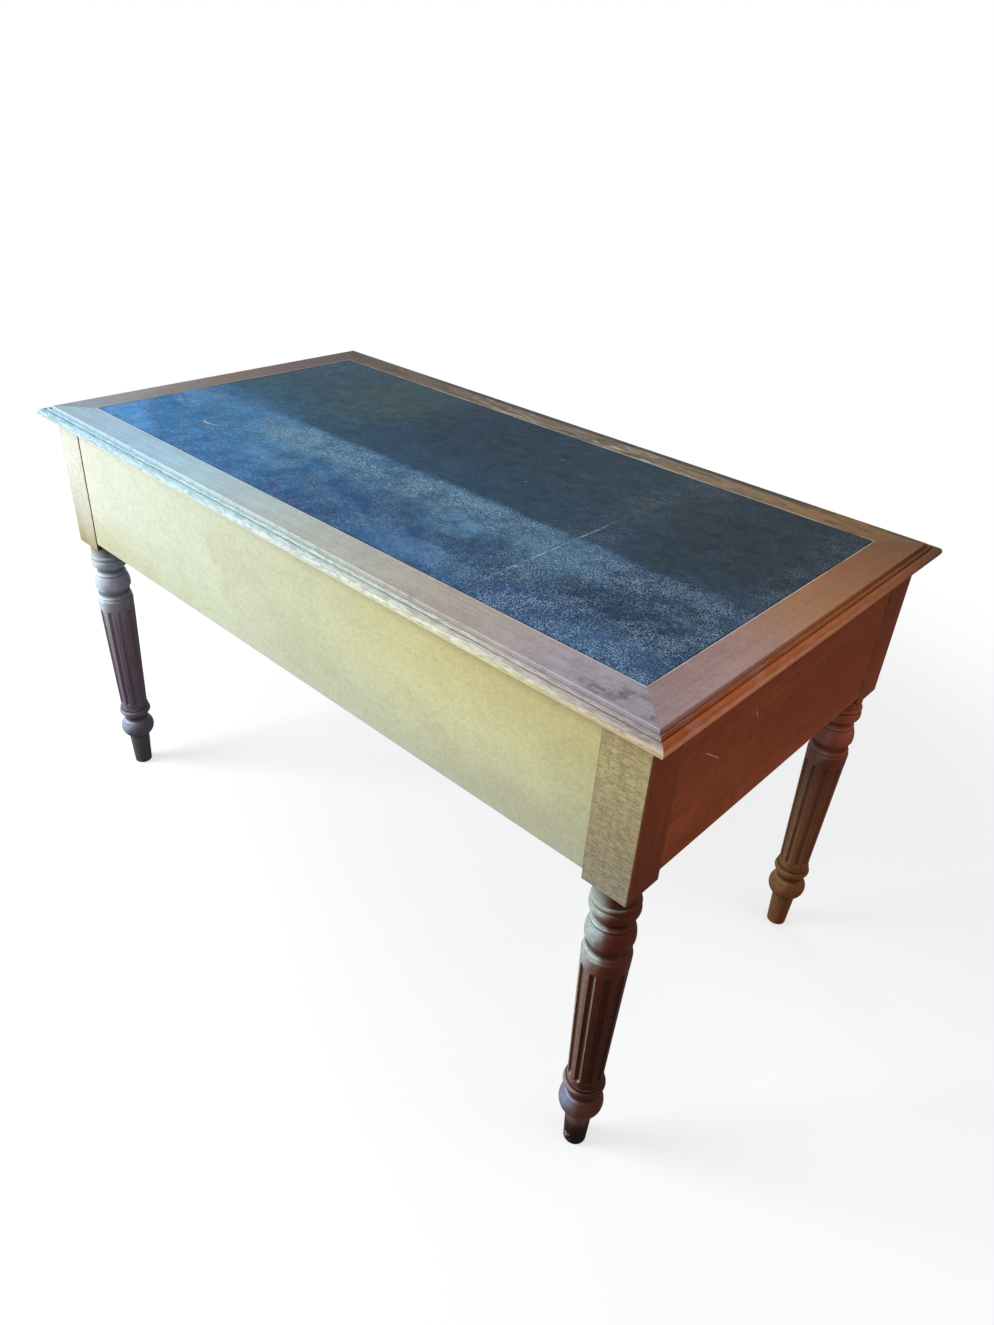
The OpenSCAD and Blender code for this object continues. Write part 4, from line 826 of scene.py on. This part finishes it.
# The pale band beside the border, part of the painted patch of light
blotch = coat.noise((7.0, 9.0, 1.0), 4.0, 0.65, 0.5, (4.2, 0.7, 0))
band = coat.times(near, coat.rise(coat.plus(y, coat.rise(x, 0.26, 0.45, 0.05)), 0.185, 0.10),
                  coat.rise(x, 0.62, 0.24), coat.plus(coat.rise(x, -0.46, -0.32, 0.85), 0.10))
colour = coat.lay(colour, tint(92, 134, 156), band, coat.plus(coat.rise(blotch, 0.35, 0.65, 0.46), 0.20))
# Paler and darker patches of the near half, each with its middle, its half width and depth, and its share
paler, deeper = tint(98, 144, 182), tint(34, 54, 82)
for middle, half, share, patch in (
        ((0.210, 0.200), (0.055, 0.035), 0.45, paler), ((0.560, 0.105), (0.045, 0.030), 0.50, paler),
        ((-0.160, 0.238), (0.100, 0.032), 0.35, paler), ((-0.510, 0.240), (0.080, 0.035), 0.15, paler),
        ((0.020, 0.262), (0.100, 0.028), 0.60, deeper), ((-0.370, 0.250), (0.070, 0.035), 0.50, deeper),
        ((0.250, 0.115), (0.055, 0.030), 0.40, paler), ((-0.170, 0.130), (0.060, 0.045), 0.40, paler),
        ((-0.340, 0.110), (0.050, 0.050), 0.20, paler), ((-0.460, 0.085), (0.090, 0.045), 0.38, deeper),
        ((0.120, 0.215), (0.050, 0.030), 0.20, deeper), ((-0.060, 0.160), (0.050, 0.030), 0.25, deeper),
        ((-0.460, 0.165), (0.085, 0.045), 0.66, deeper)):
    gap = coat.plus(coat.from_line(middle, half), coat.times(wander, 3.0), coat.times(ragged, 4.0))
    colour = coat.lay(colour, patch, coat.rise(gap, 1.5, 0.2, share))
# The last of the patches, at the -X end, has kept its dye and flakes less
flaking = coat.plus(coat.rise(gap, 1.5, 0.2, -0.6), 1.0)
# Bluer along the near edge and brightest in the corner with a painted reflection of the window, then
# mottled and cast with green and violet
colour = coat.lay(colour, tint(60, 114, 186), coat.rise(y, 0.18, 0.27, 0.20))
slant = coat.plus(coat.x, coat.times(coat.y, 2.0), coat.times(ragged, 0.12))
colour = coat.lay(colour, tint(82, 148, 210), coat.rise(slant, 0.92, 0.99, 0.75))
clouds = coat.noise(40.0, 7.0, 0.85, 0.8)
colour = coat.mottle(colour, clouds, (0.50, 0.62, 0.58, 0.55), (0.50, 0.38, 0.58, 1.60))
cast = coat.noise((16.0, 22.0, 1.0), 4.0, 0.7, 0.6, (3.2, 1.1, 0))
colour = coat.lay(colour, tint(78, 92, 70), coat.rise(cast, 0.52, 0.66, 0.14))
colour = coat.lay(colour, tint(84, 74, 104), coat.rise(cast, 0.48, 0.34, 0.12))
# Where the skin is dry its grain shows, with dark hollows and pale flakes, and clumps of them in the band
dry = coat.most(coat.times(coat.rise(x, -0.05, -0.34), near), coat.rise(x, -0.50, -0.58, 0.48),
                coat.rise(coat.away(x, seam_x), 0.07, 0.01, 0.3), band, coat.times(near, 0.4), 0.08)
patchy = coat.rise(coat.noise(24.0, 6.0, 0.8), 0.40, 0.60)
grain = coat.noise(760.0, 1.0, 0.6)
grains = coat.rise(grain, 0.53, 0.60)
hollows = coat.times(coat.rise(grain, 0.48, 0.41), dry, 0.75)
colour = coat.lay(colour, coat.shade(colour, 0.42), hollows)
flakes = coat.times(grains, coat.plus(coat.times(patchy, 0.75), 0.25), dry, flaking, 0.92)
colour = coat.lay(colour, tint(158, 188, 213), flakes)
clump = coat.noise((200.0, 270.0, 1.0), 4.0, 0.75, shift=(0.7, 0.3, 0))
clumpy = coat.times(coat.most(band, coat.times(near, 0.5)), coat.rise(x, -0.40, 0.05, 0.7))
colour = coat.lay(colour, tint(146, 178, 198), coat.rise(clump, 0.52, 0.62), patchy, clumpy)
colour = coat.lay(colour, coat.shade(colour, 0.60), coat.rise(clump, 0.48, 0.38, 0.8), clumpy)
# One dark rub in the corner, a curved scuff in three stretches, and three nicks
rub, scuff = tint(40, 84, 126), tint(190, 204, 208)
for start, end, width, share, mark in (
        ((0.575, 0.118), (0.515, 0.143), 0.004, 0.4, rub),
        ((0.418, 0.170), (0.408, 0.1735), 0.0016, 0.8, scuff),
        ((0.408, 0.1735), (0.396, 0.1725), 0.0018, 0.9, scuff),
        ((0.396, 0.1725), (0.380, 0.165), 0.0015, 0.7, scuff),
        ((0.070, 0.0880), (0.082, 0.0865), 0.0014, 0.6, scuff),
        ((-0.090, -0.176), (-0.086, -0.173), 0.0010, 0.5, scuff),
        ((-0.115, -0.056), (-0.113, -0.052), 0.0009, 0.5, scuff)):
    line = coat.scratch((*start, leather_top), (*end, leather_top), width)
    colour = coat.lay(colour, mark, line, share)
# The seam, worn pale and painted with a highlight on its raised edge in its near half, and smeared in one
# place
seam_gap = coat.away(coat.x, seam_x + 0.0015)
seam_wear_and_sheen = coat.rise(coat.noise((60.0, 60.0, 1.0), 4.0, 0.75), 0.40, 0.60)
seam_side = coat.plus(coat.times(coat.rise(coat.y, -0.05, 0.03, 0.62), coat.rise(coat.y, 0.24, 0.18)), 0.16)
seam_line = coat.times(coat.rise(seam_gap, 0.0022, 0.0004), seam_wear_and_sheen, seam_side)
colour = coat.lay(colour, tint(168, 184, 192), seam_line)
smear = coat.times(coat.rise(seam_gap, 0.010, 0.001), coat.rise(coat.away(coat.y, 0.15), 0.06, 0.01, 0.8),
                   grains, patchy)
colour = coat.lay(colour, tint(190, 206, 216), smear)
# A dark rim along the frame, and the pebbled surface between the cracks
rim_x = coat.rise(coat.away(coat.x), leather_x - 0.004, leather_x - 0.001)
rim_y = coat.rise(coat.away(coat.y), leather_y - 0.004, leather_y - 0.001)
colour = coat.lay(colour, tint(20, 28, 36), coat.most(rim_x, rim_y), 0.6)
pebble = coat.plus(coat.rise(crackle(coat, 420.0), 0.0, 0.25, 0.6),
                   coat.rise(crackle(coat, 900.0, (0.3, 0.1, 0)), 0.0, 0.3, 0.4))
leather = coat.close(colour, pebble, 0.00012, 0.03)
for name, node, side in (("leather_skin_end", "leather_end", 1), ("leather_skin_main", "leather_main", -1)):
    skin(name, node, side).data.materials.append(leather)


# Drawers
# Three drawers: fronts stained like the rest, sides, backs and bottoms bare. The dovetails at the front
# corners show their end grain darker, and the lower edges of the sides are polished by the runners.
end_grain, tail = tint(124, 88, 54), 0.015
for place, seed, sides in (("left", 101, ("outer", "inner")), ("centre", 111, ("left", "right")),
                           ("right", 121, ("inner", "outer"))):
    coat, colour, height = stained(f"drawer_{place}_front", "X", seed)
    dress(f"drawer_{place}_front", coat.close(colour, height))
    boards = {f"drawer_{place}_side_{side}": "Y" for side in sides}
    boards.update({f"drawer_{place}_back": "X", f"drawer_{place}_bottom": "X"})
    for step, (name, along) in enumerate(boards.items(), 1):
        coat, colour, height = raw(name, along, seed + step)
        if "_side_" in name:
            _, front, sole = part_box(name)[0]
            ends = coat.rise(coat.y, front + tail + 0.0005, front + tail - 0.0005, 0.45)
            colour = coat.lay(colour, end_grain, ends)
            colour = coat.lay(colour, polish, coat.rise(coat.z, sole + 0.003, sole, 0.6))
        dress(name, coat.close(colour, height, shine=0.3))


# Knobs and screws
# Four brass knobs, browned in patches, and plain steel screws.
def metal(name, bright, dull, roughness):
    """Metal that has gone dull in patches."""
    coat = Coat(name, roughness)
    patches = coat.noise(160.0, 4.0, 0.65)
    colour = coat.blend(coat.rise(patches, 0.38, 0.66, 0.7), bright, dull)
    worn = coat.plus(coat.times(patches, 0.3), roughness - 0.12)
    coat.tree.links.new(worn, coat.shader.inputs["Roughness"])
    coat.shader.inputs["Metallic"].default_value = 1.0
    return coat.close(colour, patches, 0.00005, 0.5, 0.3)


brass = metal("aged_brass", tint(206, 168, 98), tint(140, 104, 54), 0.34)
steel = metal("screw_steel", tint(150, 150, 152), tint(98, 92, 88), 0.45)
for name in ("drawer_left_knob", "drawer_centre_knobs", "drawer_right_knob"):
    dress(name, brass)
for name in ("drawer_left_screw", "drawer_centre_screws", "drawer_right_screw", "top_screws"):
    dress(name, steel)
